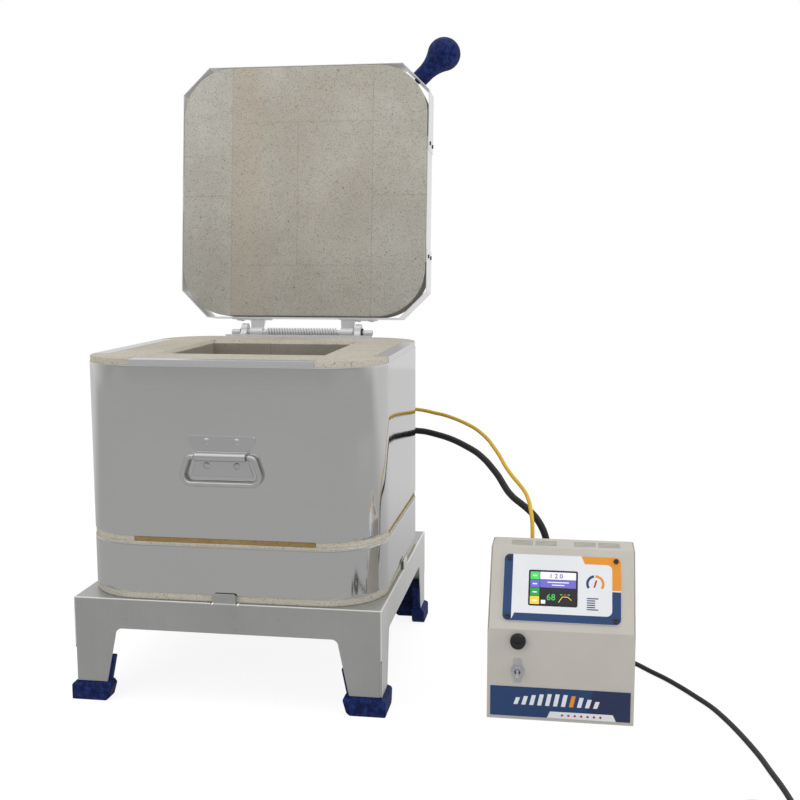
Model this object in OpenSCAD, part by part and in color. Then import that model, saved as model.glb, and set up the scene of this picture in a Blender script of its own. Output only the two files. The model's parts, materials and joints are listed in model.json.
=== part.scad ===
// Bead annealing kiln with a counterbalanced lid, a sheet stand and a separate control box.
// Millimetres. X runs to the right, Y to the back, Z up; the floor is z = 0.
// The origin lies on the floor under the middle of the whole set.

/* [Kiln body] */
// Inside width of the square firing chamber
chamber_w = 279.4; // [200:0.1:340]
// Thickness of the brick walls
wall_t = 114.3; // [90:0.1:130]
// Radius of the body's upright corners
corner_r = 101.6; // [80:0.1:104]
// Height of the chamber from its floor to the rim
chamber_h = 298; // [260:1:380]
// Height of the floor section under the chamber
floor_h = 98; // [80:1:130]
// Height of one full course of bricks
course_h = 114.3; // [90:0.1:120]
// Gap between neighbouring bricks
brick_gap = 0.4; // [0.3:0.1:1.5]
// Length of a full brick
brick_l = 228.6; // [200:0.1:240]
// Bevel round the chamber mouth
mouth_bevel = 5.5; // [2:0.1:9]
// Thickness of the stainless jackets
jacket_t = 1.2; // [0.8:0.1:2]
// Brick left bare above and below the jackets
bare_edge = 9.5; // [6:0.5:14]
// Brick left bare below the lower jacket
bare_foot = 12; // [6:0.5:16]
// Width of the top leg of each rim trim
trim_leg = 25; // [15:0.5:35]
// Length of the straight trims and seam strips
trim_l = 304; // [200:1:304]
// Height of the tan seam strip
strip_h = 8; // [5:0.5:11]
// Depth of the tan seam strip into the wall
strip_t = 6; // [3:0.5:10]

/* [Stand] */
// Height of the stand's top above the floor
stand_h = 175; // [140:1:220]
// Width of the square stand
stand_w = 518; // [514:1:540]
// Thickness of the stand's sheet
stand_t = 2; // [1.5:0.1:3]
// Depth of the apron between the legs
apron_h = 51; // [35:1:70]
// Width of a leg where it meets the apron
leg_top_w = 71; // [60:1:90]
// Width of a leg at its foot
leg_foot_w = 54; // [40:1:58]
// Radius under the apron at each leg
leg_fillet = 11; // [5:0.5:16]
// Height of the slit up each corner of the legs
corner_slit_h = 58; // [40:1:70]
// Width of the round-cornered opening in the stand's top
stand_opening = 300; // [240:1:340]
// Width of the upright tab on each side
tab_w = 38; // [25:1:60]
// Height of the tab above the stand's top
tab_h = 16; // [10:1:24]
// Height of each foot block
foot_h = 31; // [24:1:40]
// Width of each foot block at its top
foot_w = 71; // [64:1:80]
// How far a foot block stands out beyond the leg
foot_proud = 6.8; // [4:0.1:10]
// Height of the post inside each leg
foot_post_h = 44; // [25:1:60]

/* [Lid] */
// Thickness of the brick lid
lid_t = 76.2; // [60:0.1:90]
// Angle through which the lid stands open
lid_open = 96; // [90:0.5:100]
// Clearance between the shut lid and the rim
lid_gap = 0.5; // [0.3:0.1:2]
// Thickness of the lid band's sheet
band_t = 1.5; // [1:0.1:2.5]
// Height of the lid band
band_h = 68; // [50:1:74]
// Leg of the band's 45 degree corners
band_corner = 55; // [45:1:60]
// Distance of the hinge axis behind the body
hinge_back = 33; // [28:0.5:45]
// Height of the hinge axis above the rim
hinge_up = 5.9; // [4:0.1:12]
// Diameter of the hinge rod
rod_d = 11.3; // [8:0.1:14]
// Length of the hinge rod
rod_l = 295; // [280:1:310]
// Running clearance of the hinge rod in the lid's arms
rod_fit = 0.15; // [0.1:0.05:0.4]
// Width of each fixed hinge ear
ear_w = 12; // [8:1:14]
// Distance of each fixed ear from the middle
ear_x = 119; // [115:1:128]
// Width of each hinge arm on the lid
arm_w = 27; // [20:1:30]
// Distance of each hinge arm from the middle
arm_x = 95; // [90:1:97]
// Wire diameter of the counterbalance spring
wire_d = 3.4; // [2.4:0.1:4]
// Number of turns in the counterbalance spring
spring_turns = 26; // [18:1:28]

/* [Handles] */
// Width of the bail handle's plate
plate_w = 112; // [90:1:130]
// Height of the bail handle's plate
plate_h = 66; // [60:1:80]
// Diameter of the bail's rod
bail_d = 9; // [7:0.5:10]
// Drop of the bail below its pivot
bail_drop = 44; // [40:1:60]
// Widest diameter of the lid knob
knob_d = 67; // [50:1:75]
// Length of the lid knob
knob_l = 106; // [80:1:120]

/* [Control box] */
// Width of the control box
box_w = 231; // [210:1:260]
// Depth of the control box at its foot
box_d = 135; // [125:1:180]
// Height of the control box
box_h = 263; // [255:1:300]
// Height of the upright lower front
box_front_h = 149; // [140:1:156]
// Depth of the flat top
box_top_d = 61; // [55:1:75]
// Thickness of the control box sheet
box_t = 1.5; // [1:0.1:2]
// Inset of the sloping cover between the side cheeks
cover_inset = 2; // [1.6:0.1:4]
// Width of the front display panel
panel_w = 186; // [150:1:190]
// Height of the front display panel along the slope
panel_h = 110; // [90:1:114]
// Width of the display window
screen_w = 78; // [60:1:90]
// Height of the display window
screen_h = 59; // [45:1:66]
// Diameter of the fuse cap
fuse_cap_d = 25; // [20:0.5:28]
// Height of the lower label plate
label_h = 49; // [30:1:52]
// Length of the toggle switch lever
lever_l = 17; // [12:1:22]

/* [Cords] */
// Diameter of the kiln's power cord
power_d = 12.5; // [11:0.1:13]
// Diameter of the sensor cord
sensor_d = 7.2; // [6:0.1:7.5]
// Diameter of the mains cord
mains_d = 8.5; // [7:0.1:9]
// Diameter of the mains coil at the middle of its turns
coil_d = 94; // [85:1:102]

/* [Hidden] */

$fn = 48;
eps = 0.01;

// Places of the kiln and of the control box about the origin
kiln_x = -195;
kiln_y = -75;
box_x = 346;
box_front_y = -312;

// Heights worked out from the driving sizes
body_w = chamber_w + 2 * wall_t;
half = body_w / 2;
brick_half = half - jacket_t;
seam_z = stand_h + floor_h;
rim_z = seam_z + chamber_h;
top_course_h = chamber_h - 2 * course_h;
hinge_y = half + hinge_back;
hinge_z = rim_z + hinge_up;
stand_half = stand_w / 2;

module at_kiln() { translate([kiln_x, kiln_y, 0]) children(); }
module at_box() { translate([box_x, box_front_y, 0]) children(); }

// A square with round corners, as true circles and squares
module round_square(w, r) {
    square([w - 2 * r, w], center = true);
    square([w, w - 2 * r], center = true);
    for (x = [-1, 1], y = [-1, 1]) translate([x * (w / 2 - r), y * (w / 2 - r)]) circle(r);
}
module round_rect(w, h, r) {
    square([w - 2 * r, h], center = true);
    square([w, h - 2 * r], center = true);
    for (x = [-1, 1], y = [-1, 1]) translate([x * (w / 2 - r), y * (h / 2 - r)]) circle(r);
}
// The four sides, one after another
module each_side() { for (side = [0:3]) rotate(90 * side) children(); }

// Stand: one folded sheet with four aprons, eight leg flanges and four tabs
module leg_profile() {
    opening_z = stand_h - apron_h;
    difference() {
        polygon([
            [-stand_half, foot_h], [-stand_half + leg_foot_w, foot_h],
            [-stand_half + leg_top_w, opening_z - leg_fillet],
            [-stand_half + leg_top_w + leg_fillet, opening_z],
            [stand_half - leg_top_w - leg_fillet, opening_z],
            [stand_half - leg_top_w, opening_z - leg_fillet],
            [stand_half - leg_foot_w, foot_h], [stand_half, foot_h],
            [stand_half, stand_h], [-stand_half, stand_h]
        ]);
        for (s = [-1, 1])
            translate([s * (stand_half - leg_top_w - leg_fillet), opening_z - leg_fillet])
                circle(leg_fillet);
    }
}
module tab_profile() {
    tab_r = 4;
    translate([-tab_w / 2, stand_h - 10]) square([tab_w, tab_h + 10 - tab_r]);
    translate([-tab_w / 2 + tab_r, stand_h]) square([tab_w - 2 * tab_r, tab_h]);
    for (s = [-1, 1]) translate([s * (tab_w / 2 - tab_r), stand_h + tab_h - tab_r]) circle(tab_r);
}
module stand() {
    notch_d = 5;
    slit_w = 1.6;
    color("gainsboro") at_kiln() difference() {
        union() {
            translate([0, 0, stand_h - stand_t]) linear_extrude(stand_t) difference() {
                square(stand_w, center = true);
                round_square(stand_opening, 40);
            }
            each_side() translate([0, -stand_half + stand_t, 0]) rotate([90, 0, 0])
                linear_extrude(stand_t) { leg_profile(); tab_profile(); }
        }
        each_side() {
            translate([-stand_half - eps, -stand_half - eps, foot_h - eps])
                cube([slit_w, stand_t + slit_w, corner_slit_h]);
            for (s = [-1, 1])
                translate([s * (tab_w / 2 + notch_d / 2), -stand_half - eps, stand_h])
                    rotate([-90, 0, 0]) cylinder(d = notch_d, h = stand_t + 8);
        }
    }
}

// Foot: an angle-shaped block under the leg's two flanges with a taller post inside them
module foot(sx, sy) {
    post_gap = 0.3;
    block_t = 25;
    post_t = 14;
    bevel = [foot_proud, 5];
    taper = 6;
    heel = [6, 5];
    past_leg = 4;
    leg_rise = stand_h - apron_h - leg_fillet - foot_h;
    outer = stand_half + foot_proud;
    inset = foot_proud + stand_t + post_gap;
    post_foot = min(foot_w - bevel.y, foot_proud + leg_foot_w + past_leg);
    post_head = post_foot + (leg_top_w - leg_foot_w) * foot_post_h / leg_rise;
    color("midnightblue") at_kiln() mirror([sx > 0 ? 1 : 0, 0, 0]) mirror([0, sy > 0 ? 1 : 0, 0])
        translate([-outer, -outer, 0]) {
            angle_block(block_t)
                polygon([[0, 0], [foot_w - taper - heel.x, 0], [foot_w - taper, heel.y],
                         [foot_w, foot_h - bevel.y], [foot_w - 4, foot_h], [bevel.x, foot_h],
                         [0, foot_h - bevel.y]]);
            angle_block(inset + post_t)
                polygon([[inset, foot_h - 1], [post_foot, foot_h - 1], [post_head, foot_h + foot_post_h],
                         [inset, foot_h + foot_post_h]]);
        }
}
// One side view crossed with the same view turned, less the inner corner of the square
module angle_block(arm) {
    reach = 2 * foot_w;
    difference() {
        intersection() {
            translate([0, reach, 0]) rotate([90, 0, 0]) linear_extrude(reach) children();
            mirror([1, -1, 0]) translate([0, reach, 0]) rotate([90, 0, 0]) linear_extrude(reach) children();
        }
        translate([arm, arm, -1]) cube([reach, reach, foot_h + foot_post_h + 2]);
    }
}
module foot_front_left() { foot(-1, -1); }
module foot_front_right() { foot(1, -1); }
module foot_back_left() { foot(-1, 1); }
module foot_back_right() { foot(1, 1); }

// Floor section: one cemented brick slab
module floor_slab() {
    color("antiquewhite") at_kiln() translate([0, 0, stand_h])
        linear_extrude(floor_h - brick_gap / 2) round_square(2 * brick_half, corner_r - jacket_t);
}
module jacket(z0, z1) {
    at_kiln() translate([0, 0, z0]) linear_extrude(z1 - z0) difference() {
        round_square(body_w, corner_r);
        round_square(2 * brick_half, corner_r - jacket_t);
    }
}
module floor_jacket() { color("silver") jacket(stand_h + bare_foot, seam_z - strip_h / 2 - 1); }

// Chamber walls: courses of brick laid pinwheel fashion, grooved for the elements
element_d = 11;
tail_d = 6;
groove_d = 19;
element_run = chamber_w / 2 + 6;
groove_offsets = [35, 80];
groove_z = [for (c = [0, 1], o = groove_offsets) seam_z + c * course_h + o];
element_drop = (groove_d - element_d) / 2 - 0.3;
tail_hole_d = 8;
tail_x = 55;
tail_pitch = 40;
probe_x = 122;
probe_z = seam_z + course_h + 57.5;
probe_d = 8;
probe_hole_d = 9;

module wall_outline() {
    difference() {
        round_square(2 * brick_half, corner_r - jacket_t);
        square(chamber_w, center = true);
        each_side() {
            translate([chamber_w / 2, -half]) square([brick_gap, wall_t + brick_gap]);
            translate([half - brick_l, -half]) square([brick_gap, wall_t + brick_gap]);
        }
    }
}
module groove(z) {
    each_side() translate([0, -element_run, z]) rotate([0, 90, 0])
        cylinder(d = groove_d, h = 2 * element_run, center = true);
}
module course(z0, h) {
    color("cornsilk") at_kiln() difference() {
        translate([0, 0, z0]) linear_extrude(h) wall_outline();
        for (z = groove_z) if (z > z0 && z < z0 + h) groove(z);
        children();
    }
}
// Holes through the back wall for the element tails and the thermocouple
module back_holes(y0, length) {
    for (z = groove_z, s = [0, 1]) translate([tail_x + tail_pitch * s, y0, z - element_drop])
        rotate([-90, 0, 0]) cylinder(d = tail_hole_d, h = length);
    translate([probe_x, y0, probe_z]) rotate([-90, 0, 0]) cylinder(d = probe_hole_d, h = length);
}
module chamber_bricks_low() {
    course(seam_z, course_h - brick_gap) {
        back_holes(chamber_w / 2 - 1, wall_t + 2);
        each_side() translate([-trim_l / 2 - 0.2, -half - 1, seam_z - eps])
            cube([trim_l + 0.4, strip_t + 2.4, strip_h + 0.2]);
    }
}
module chamber_bricks_middle() {
    course(seam_z + course_h, course_h - brick_gap) back_holes(chamber_w / 2 - 1, wall_t + 2);
}
module chamber_bricks_top() {
    course(seam_z + 2 * course_h, top_course_h) {
        back_holes(chamber_w / 2 - 1, wall_t + 2);
        each_side() {
            translate([-trim_l / 2 - 0.2, -half - eps, rim_z - jacket_t])
                cube([trim_l + 0.4, trim_leg, jacket_t + 1]);
            translate([0, -chamber_w / 2, rim_z]) rotate([45, 0, 0])
                cube([chamber_w + 2 * mouth_bevel, mouth_bevel * sqrt(2), mouth_bevel * sqrt(2)],
                     center = true);
        }
    }
}
module chamber_jacket() {
    color("silver") difference() {
        jacket(seam_z + strip_h, rim_z - bare_edge);
        at_kiln() back_holes(half - 5, 10);
    }
}
module rim_trims() {
    color("lightgray") at_kiln() each_side()
        translate([-trim_l / 2, -half, rim_z]) rotate([90, 0, 90]) linear_extrude(trim_l)
            polygon([[0, 0], [trim_leg - 0.2, 0], [trim_leg - 0.2, -jacket_t], [jacket_t, -jacket_t],
                     [jacket_t, -bare_edge], [0, -bare_edge]]);
}
module seam_strips() {
    color("peru") at_kiln() each_side()
        translate([-trim_l / 2, -half + jacket_t, seam_z]) cube([trim_l, strip_t, strip_h]);
}

// Heating elements: a coil lies in each groove and its two tails leave through the back wall
module heating_elements() {
    tail_l = wall_t + 16;
    color("dimgray") at_kiln() for (groove_at = groove_z) {
        z = groove_at - element_drop;
        for (side = [1:3]) rotate(90 * side) translate([0, element_run, z]) rotate([0, 90, 0])
            cylinder(d = element_d, h = 2 * element_run, center = true);
        translate([-element_run, element_run, z]) rotate([0, 90, 0])
            cylinder(d = element_d, h = element_run + tail_x);
        translate([tail_x + tail_pitch, element_run, z]) rotate([0, 90, 0])
            cylinder(d = element_d, h = element_run - tail_x - tail_pitch);
        for (s = [0, 1]) translate([tail_x + tail_pitch * s, element_run, z]) {
            sphere(d = element_d);
            rotate([-90, 0, 0]) cylinder(d = tail_d, h = tail_l);
        }
    }
}

// Terminal cover on the back: an open-backed sheet box over the ceramic terminal block
cover_x0 = 20;
cover_w = 170;
cover_d = 56;
cover_t = 1.2;
cover_z0 = seam_z + 17;
cover_h = 200;
block_d = 20;
gland_tip_l = 25;
gland_y = half + 28;
sensor_gland_z = 424;
power_gland_z = 380;
module terminal_block() {
    block_w = tail_pitch + 24;
    color("ivory") at_kiln() difference() {
        translate([tail_x - 12, half + 0.3, groove_z[0] - 16])
            cube([block_w, block_d, groove_z[3] - groove_z[0] + 24]);
        for (z = groove_z, s = [0, 1])
            translate([tail_x + tail_pitch * s, half, z - element_drop]) {
                rotate([-90, 0, 0]) cylinder(d = tail_hole_d, h = block_d + 1);
                translate([0, block_d - 4, 0]) rotate([-90, 0, 0]) cylinder(d = 16, h = 6);
            }
    }
}
module terminal_cover() {
    slot_w = 48;
    slot_at = [13, 88];
    corner_in = 12;
    color("silver") at_kiln() difference() {
        translate([cover_x0, half, cover_z0]) cube([cover_w, cover_d, cover_h]);
        translate([cover_x0 + cover_t, half - 1, cover_z0 + cover_t])
            cube([cover_w - 2 * cover_t, cover_d + 1 - cover_t, cover_h - 2 * cover_t]);
        for (z = [sensor_gland_z, power_gland_z])
            translate([cover_x0 + cover_w - 3, gland_y, z]) rotate([0, 90, 0])
                cylinder(d = z == power_gland_z ? power_gland_d : sensor_gland_d, h = 6);
        for (x = slot_at, i = [0:4])
            translate([cover_x0 + x, half + 12 + 8 * i, cover_z0 - 1]) cube([slot_w, 3, cover_h + 2]);
        for (x = [corner_in, cover_w - corner_in], z = [corner_in, cover_h - corner_in])
            translate([cover_x0 + x, half + cover_d - 3, cover_z0 + z]) rotate([-90, 0, 0])
                cylinder(d = screw_d + 0.4, h = 5);
    }
}
// Four long screws run from the cover to the jacket
screw_d = 4;
module pan_screw(length) {
    head_d = 2 * screw_d;
    difference() {
        union() {
            cylinder(d = head_d, h = 2.4);
            translate([0, 0, -length]) cylinder(d = screw_d, h = length + 0.1);
        }
        translate([-screw_d, -0.5, 1.4]) cube([2 * screw_d, 1, 2]);
    }
}
module terminal_screws() {
    corner_in = 12;
    color("dimgray") at_kiln()
        for (x = [corner_in, cover_w - corner_in], z = [corner_in, cover_h - corner_in])
        translate([cover_x0 + x, half + cover_d, cover_z0 + z]) rotate([-90, 0, 0])
            pan_screw(cover_d - 0.3);
}
module thermocouple() {
    probe_in = 30;
    probe_head_d = 20;
    color("linen") at_kiln() translate([probe_x, chamber_w / 2 - probe_in, probe_z])
        rotate([-90, 0, 0]) {
            cylinder(d = probe_d, h = wall_t + probe_in + 14);
            translate([0, 0, wall_t + probe_in + 0.3]) cylinder(d = probe_head_d, h = 12);
        }
}

// Cord gland along +Z: nut, body and tapered sleeve, bored for its cord
power_gland_d = 20;
sensor_gland_d = 12;
module gland(thread_d, cord_d, length) {
    difference() {
        union() {
            translate([0, 0, -6]) cylinder(d = thread_d - 0.4, h = 6.1);
            cylinder(d = thread_d + 7, h = 7, $fn = 6);
            translate([0, 0, 7]) cylinder(d1 = thread_d + 2, d2 = cord_d + 3, h = length - 7);
            translate([0, 0, -9]) cylinder(d = thread_d + 6, h = 9 - wall_sheet, $fn = 6);
        }
        translate([0, 0, -20]) cylinder(d = cord_d - 0.6, h = 20 + length - 4);
        translate([0, 0, length - 4.01]) cylinder(d = cord_d + 0.2, h = 5);
    }
}
wall_sheet = 1.5;
module kiln_power_gland() {
    color("black") at_kiln() translate([cover_x0 + cover_w, gland_y, power_gland_z])
        rotate([0, 90, 0]) gland(power_gland_d, power_d, gland_tip_l);
}
module kiln_sensor_gland() {
    color("black") at_kiln() translate([cover_x0 + cover_w, gland_y, sensor_gland_z])
        rotate([0, 90, 0]) gland(sensor_gland_d, sensor_d, gland_tip_l);
}

// Hinge base: a plate on the back of the body with two ears that hold the rod
base_w = 2 * ear_x + ear_w + 54;
base_plate_h = 54;
base_t = 3;
ear_r = 12.5;
base_y = half;
module hinge_base() {
    color("gainsboro") at_kiln() difference() {
        union() {
            translate([-base_w / 2, base_y, rim_z + 3 - base_plate_h])
                cube([base_w, base_t, base_plate_h]);
            for (s = [-1, 1]) translate([s * ear_x - ear_w / 2, 0, 0]) rotate([90, 0, 90])
                linear_extrude(ear_w) ear_profile();
        }
        translate([-base_w / 2, hinge_y, hinge_z]) rotate([0, 90, 0])
            cylinder(d = rod_d + 2 * rod_fit, h = base_w);
        for (x = hinge_screw_x) translate([x, base_y - 1, hinge_screw_z]) rotate([-90, 0, 0])
            cylinder(d = screw_d + 0.4, h = 10);
    }
}
hinge_screw_x = [14 - base_w / 2, -60, 0, 60, base_w / 2 - 14];
hinge_screw_z = rim_z - 34;
module ear_profile() {
    gusset = 36;
    ear_up = 5.5;
    union() {
        translate([hinge_y, hinge_z + ear_up]) circle(ear_r);
        polygon([[base_y + 1, rim_z + 2.5], [hinge_y - ear_r - 6, hinge_z - 1],
                 [hinge_y - ear_r, hinge_z + ear_up], [hinge_y + ear_r, hinge_z + ear_up],
                 [hinge_y + ear_r, hinge_z - 2], [hinge_y + 8, hinge_z - 9.5],
                 [base_y + 1, rim_z - gusset]]);
    }
}
module hinge_screws() {
    color("dimgray") at_kiln() for (x = hinge_screw_x)
        translate([x, base_y + base_t, hinge_screw_z]) rotate([-90, 0, 0]) pan_screw(base_t - 0.3);
}
module hinge_rod() {
    color("silver") at_kiln() translate([-rod_l / 2, hinge_y, hinge_z]) rotate([0, 90, 0])
        difference() {
            cylinder(d = rod_d, h = rod_l);
            translate([0, 0, -1]) cylinder(d = rod_d - 3, h = 16);
            translate([0, 0, rod_l - 15]) cylinder(d = rod_d - 3, h = 16);
        }
}
module hinge_clips() {
    clip_w = 3;
    clip_x = ear_x + ear_w / 2 + 0.3;
    color("dimgray") at_kiln() for (s = [-1, 1])
        translate([s > 0 ? clip_x : -clip_x - clip_w, hinge_y, hinge_z]) rotate([0, 90, 0])
            difference() {
                cylinder(d = rod_d + 7, h = clip_w);
                translate([0, 0, -1]) cylinder(d = rod_d + 0.4, h = clip_w + 2);
            }
}

// Counterbalance spring: a round wire wound about the rod, with a straight tail at each end
spring_sides = 8;
spring_steps = 12;
spring_l = 2 * (arm_x - arm_w / 2) - 12;
spring_r = (rod_d + wire_d) / 2 + 0.5;
spring_pitch = (spring_l - wire_d) / spring_turns;
tail_end_y = -(hinge_back - base_t - 0.3);
function coil_point(i) = let (a = 360 * i / spring_steps)
    [-(spring_l - wire_d) / 2 + spring_pitch * i / spring_steps, spring_r * sin(a), -spring_r * cos(a)];
spring_path = concat(
    [[-(spring_l - wire_d) / 2, tail_end_y, -spring_r]],
    [for (i = [0:spring_turns * spring_steps]) coil_point(i)],
    [[spring_l / 2 + 0.6, 1.4, -spring_r], [arm_x - arm_w / 2 - 0.3, 1.6, -spring_r]]
);
module hinge_spring() {
    color("darkgray") at_kiln() translate([0, hinge_y, hinge_z])
        tube(spring_path, wire_d, spring_sides);
}

// A round tube swept along a list of points: one ring of corners at each point
function unit(v) = v / norm(v);
function heading(p, i) = unit(p[min(i + 1, len(p) - 1)] - p[max(i - 1, 0)]);
function side_of(t) = unit(cross(t, abs(t.x) > 0.95 ? [0, 0, 1] : [1, 0, 0]));
function carried(p, i, v) = unit(v - (v * heading(p, i)) * heading(p, i));
function frames(p, i = 0, v = [0, 0, 0], out = []) =
    i == len(p) ? out
    : let (n = i == 0 ? side_of(heading(p, 0)) : carried(p, i, v))
        frames(p, i + 1, n, concat(out, [n]));
module tube(p, d, sides) {
    n = frames(p);
    rings = [for (i = [0:len(p) - 1], k = [0:sides - 1]) let (a = 360 * k / sides)
        p[i] + d / 2 * (cos(a) * n[i] + sin(a) * cross(heading(p, i), n[i]))];
    walls = [for (i = [0:len(p) - 2], k = [0:sides - 1])
        let (a = i * sides + k, b = i * sides + (k + 1) % sides) [a, a + sides, b + sides, b]];
    ends = [[for (k = [0:sides - 1]) k],
            [for (k = [0:sides - 1]) (len(p) - 1) * sides + sides - 1 - k]];
    polyhedron(rings, concat(walls, ends));
}

// Bail handle on the front: a folded plate with a rolled barrel, and the bail that hangs in it
plate_t = 1.5;
bail_pin_d = bail_d - 1;
barrel_od = bail_pin_d + 6;
plate_z = 417;
barrel_w = 84;
pivot_y = -half - plate_t - barrel_od / 2;
bail_fit = 0.2;
module handle_plate() {
    neck = barrel_w / 2 + 3;
    color("silver") at_kiln() difference() {
        union() {
            translate([0, -half, plate_z]) rotate([90, 0, 0]) linear_extrude(plate_t) {
                polygon([[-plate_w / 2 + 3, plate_h / 2], [plate_w / 2 - 3, plate_h / 2],
                         [plate_w / 2, plate_h / 2 - 3], [plate_w / 2, plate_h / 2 - 10],
                         [neck, 9], [neck, -9], [plate_w / 2 - 4, -plate_h / 2],
                         [-plate_w / 2 + 4, -plate_h / 2], [-neck, -9], [-neck, 9],
                         [-plate_w / 2, plate_h / 2 - 10], [-plate_w / 2, plate_h / 2 - 3]]);
            }
            translate([-barrel_w / 2, -half - plate_t, plate_z - barrel_od / 2])
                cube([barrel_w, plate_t, barrel_od]);
            translate([-barrel_w / 2, pivot_y, plate_z]) rotate([0, 90, 0])
                cylinder(d = barrel_od, h = barrel_w);
            translate([-barrel_w / 2, pivot_y, plate_z])
                cube([barrel_w, barrel_od / 2 + plate_t, barrel_od / 2]);
        }
        translate([-barrel_w / 2 - 1, pivot_y, plate_z]) rotate([0, 90, 0])
            cylinder(d = bail_pin_d + 2 * bail_fit, h = barrel_w + 2);
        for (p = rivet_places) translate([p.x, -half - 10, plate_z + p.y]) rotate([-90, 0, 0])
            cylinder(d = 5.4, h = 12);
    }
}
rivet_places = [[-25, 24], [25, 24], [-25, -15], [25, -15]];
module handle_rivets() {
    color("gainsboro") at_kiln() for (p = rivet_places)
        translate([p.x, -half - plate_t, plate_z + p.y]) rotate([90, 0, 0]) {
            difference() {
                translate([0, 0, -5.6]) sphere(r = 8);
                translate([0, 0, -20]) cube([40, 40, 40], center = true);
            }
            translate([0, 0, -plate_t + 0.3]) cylinder(d = 5, h = plate_t);
        }
}
// The bail: a pin through the barrel and one round rod bent into two slanting sides and a grip
bail_top_w = 109;
bail_foot_w = 138;
bail_bend_r = [9, 14];
function round_corner(a, b, c, r) =
    let (u = unit(a - b), v = unit(c - b), turn = acos(u * v) / 2,
         middle = b + unit(u + v) * r / sin(turn), p = b + u * r / tan(turn), q = b + v * r / tan(turn),
         steps = 5)
    [for (i = [0:steps]) middle + r * unit((1 - i / steps) * (p - middle) + i / steps * (q - middle))];
module handle_bail() {
    stub_x = barrel_w / 2 + 0.6;
    x0 = bail_top_w / 2;
    x1 = bail_foot_w / 2;
    corners = [[-stub_x, 0, 0], [-x0, 0, 0], [-x1, 0, -bail_drop], [x1, 0, -bail_drop], [x0, 0, 0],
               [stub_x, 0, 0]];
    radii = [0, bail_bend_r[0], bail_bend_r[1], bail_bend_r[1], bail_bend_r[0]];
    path = concat([corners[0]],
                  [for (i = [1:4]) each round_corner(corners[i - 1], corners[i], corners[i + 1], radii[i])],
                  [corners[5]]);
    color("gainsboro") at_kiln() translate([0, pivot_y, plate_z]) {
        tube(path, bail_d, 12);
        translate([-stub_x - 2, 0, 0]) rotate([0, 90, 0]) cylinder(d = bail_pin_d, h = 2 * stub_x + 4);
    }
}

// Everything on the lid is drawn shut, then turned open about the hinge axis
lid_z = rim_z + lid_gap;
ring_in = half + 0.2 + band_t + 0.2;
ring_out = ring_in + band_t;
band_z = lid_z + (lid_t - band_h) / 2;
module at_lid() {
    at_kiln() translate([0, hinge_y, hinge_z]) rotate([-lid_open, 0, 0])
        translate([0, -hinge_y, -hinge_z]) children();
}
// Joint lines of the cemented bricks on the lid's inner face
column_x = [-150, 144];
middle_y = [-142, 149];
middle_x = -11;
side_y = 7;
module lid_slab() {
    kerf = 0.5;
    depth = 0.8;
    color("antiquewhite") at_lid() difference() {
        translate([0, 0, lid_z]) linear_extrude(lid_t) round_square(body_w, corner_r);
        for (x = column_x) translate([x, -half, lid_z - 1]) cube([kerf, body_w, depth + 1]);
        for (y = middle_y) translate([column_x[0], y, lid_z - 1])
            cube([column_x[1] - column_x[0], kerf, depth + 1]);
        translate([middle_x, middle_y[0], lid_z - 1]) cube([kerf, middle_y[1] - middle_y[0], depth + 1]);
        translate([-half, side_y, lid_z - 1]) cube([half + column_x[0], kerf, depth + 1]);
        translate([column_x[1], side_y, lid_z - 1]) cube([half - column_x[1], kerf, depth + 1]);
    }
}
module octagon(h, c) {
    polygon([[-h + c, -h], [h - c, -h], [h, -h + c], [h, h - c], [h - c, h], [-h + c, h],
             [-h, h - c], [-h, -h + c]]);
}
module band_ring() {
    translate([0, 0, band_z]) linear_extrude(band_h) difference() {
        octagon(ring_out, band_corner);
        octagon(ring_in, band_corner - band_t * 0.586);
    }
}
// Where the two halves of the band end: both meet on the left and overlap a link on the right
left_joint_y = 4;
link_y = [-110, 142];
overlap = 26;
half_gap = 0.5;
cut = half + 20;
module lid_band_front() {
    color("gainsboro") at_lid() difference() {
        intersection() {
            band_ring();
            union() {
                translate([-cut, -cut, lid_z]) cube([cut, cut + left_joint_y - half_gap, lid_t]);
                translate([-1, -cut, lid_z]) cube([cut + 1, cut + link_y[0] + overlap, lid_t]);
            }
        }
        band_holes();
        knob_axis() translate([0, 0, -20]) cylinder(d = bolt_d + 0.4, h = 30);
    }
}
module lid_band_back() {
    color("gainsboro") at_lid() difference() {
        intersection() {
            band_ring();
            union() {
                translate([-cut, left_joint_y + half_gap, lid_z]) cube([cut, cut, lid_t]);
                translate([-1, link_y[1] - overlap, lid_z]) cube([cut + 1, cut, lid_t]);
            }
        }
        band_holes();
        hinge_holes();
    }
}
module lid_band_link() {
    splice_l = 66;
    color("lightgray") at_lid() difference() {
        union() {
            translate([half + 0.2, link_y[0], band_z + 1])
                cube([band_t, link_y[1] - link_y[0], band_h - 2]);
            translate([-half - 0.2 - band_t, left_joint_y - splice_l / 2, band_z + 1])
                cube([band_t, splice_l, band_h - 2]);
        }
        band_holes();
    }
}
// Screws through the band: [side, y]
band_screw_places = [[-1, -20], [-1, 29], [1, link_y[0] + 12], [1, link_y[1] - 12]];
screw_rows = [16, band_h - 16];
module each_band_screw() {
    for (p = band_screw_places, r = screw_rows)
        translate([p[0] * ring_out, p[1], band_z + r]) rotate([0, 90 * p[0], 0]) children();
}
module band_holes() {
    each_band_screw() translate([0, 0, -6]) cylinder(d = screw_d + 0.4, h = 8);
}
module lid_band_screws() { color("dimgray") at_lid() each_band_screw() pan_screw(2 * band_t); }

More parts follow.
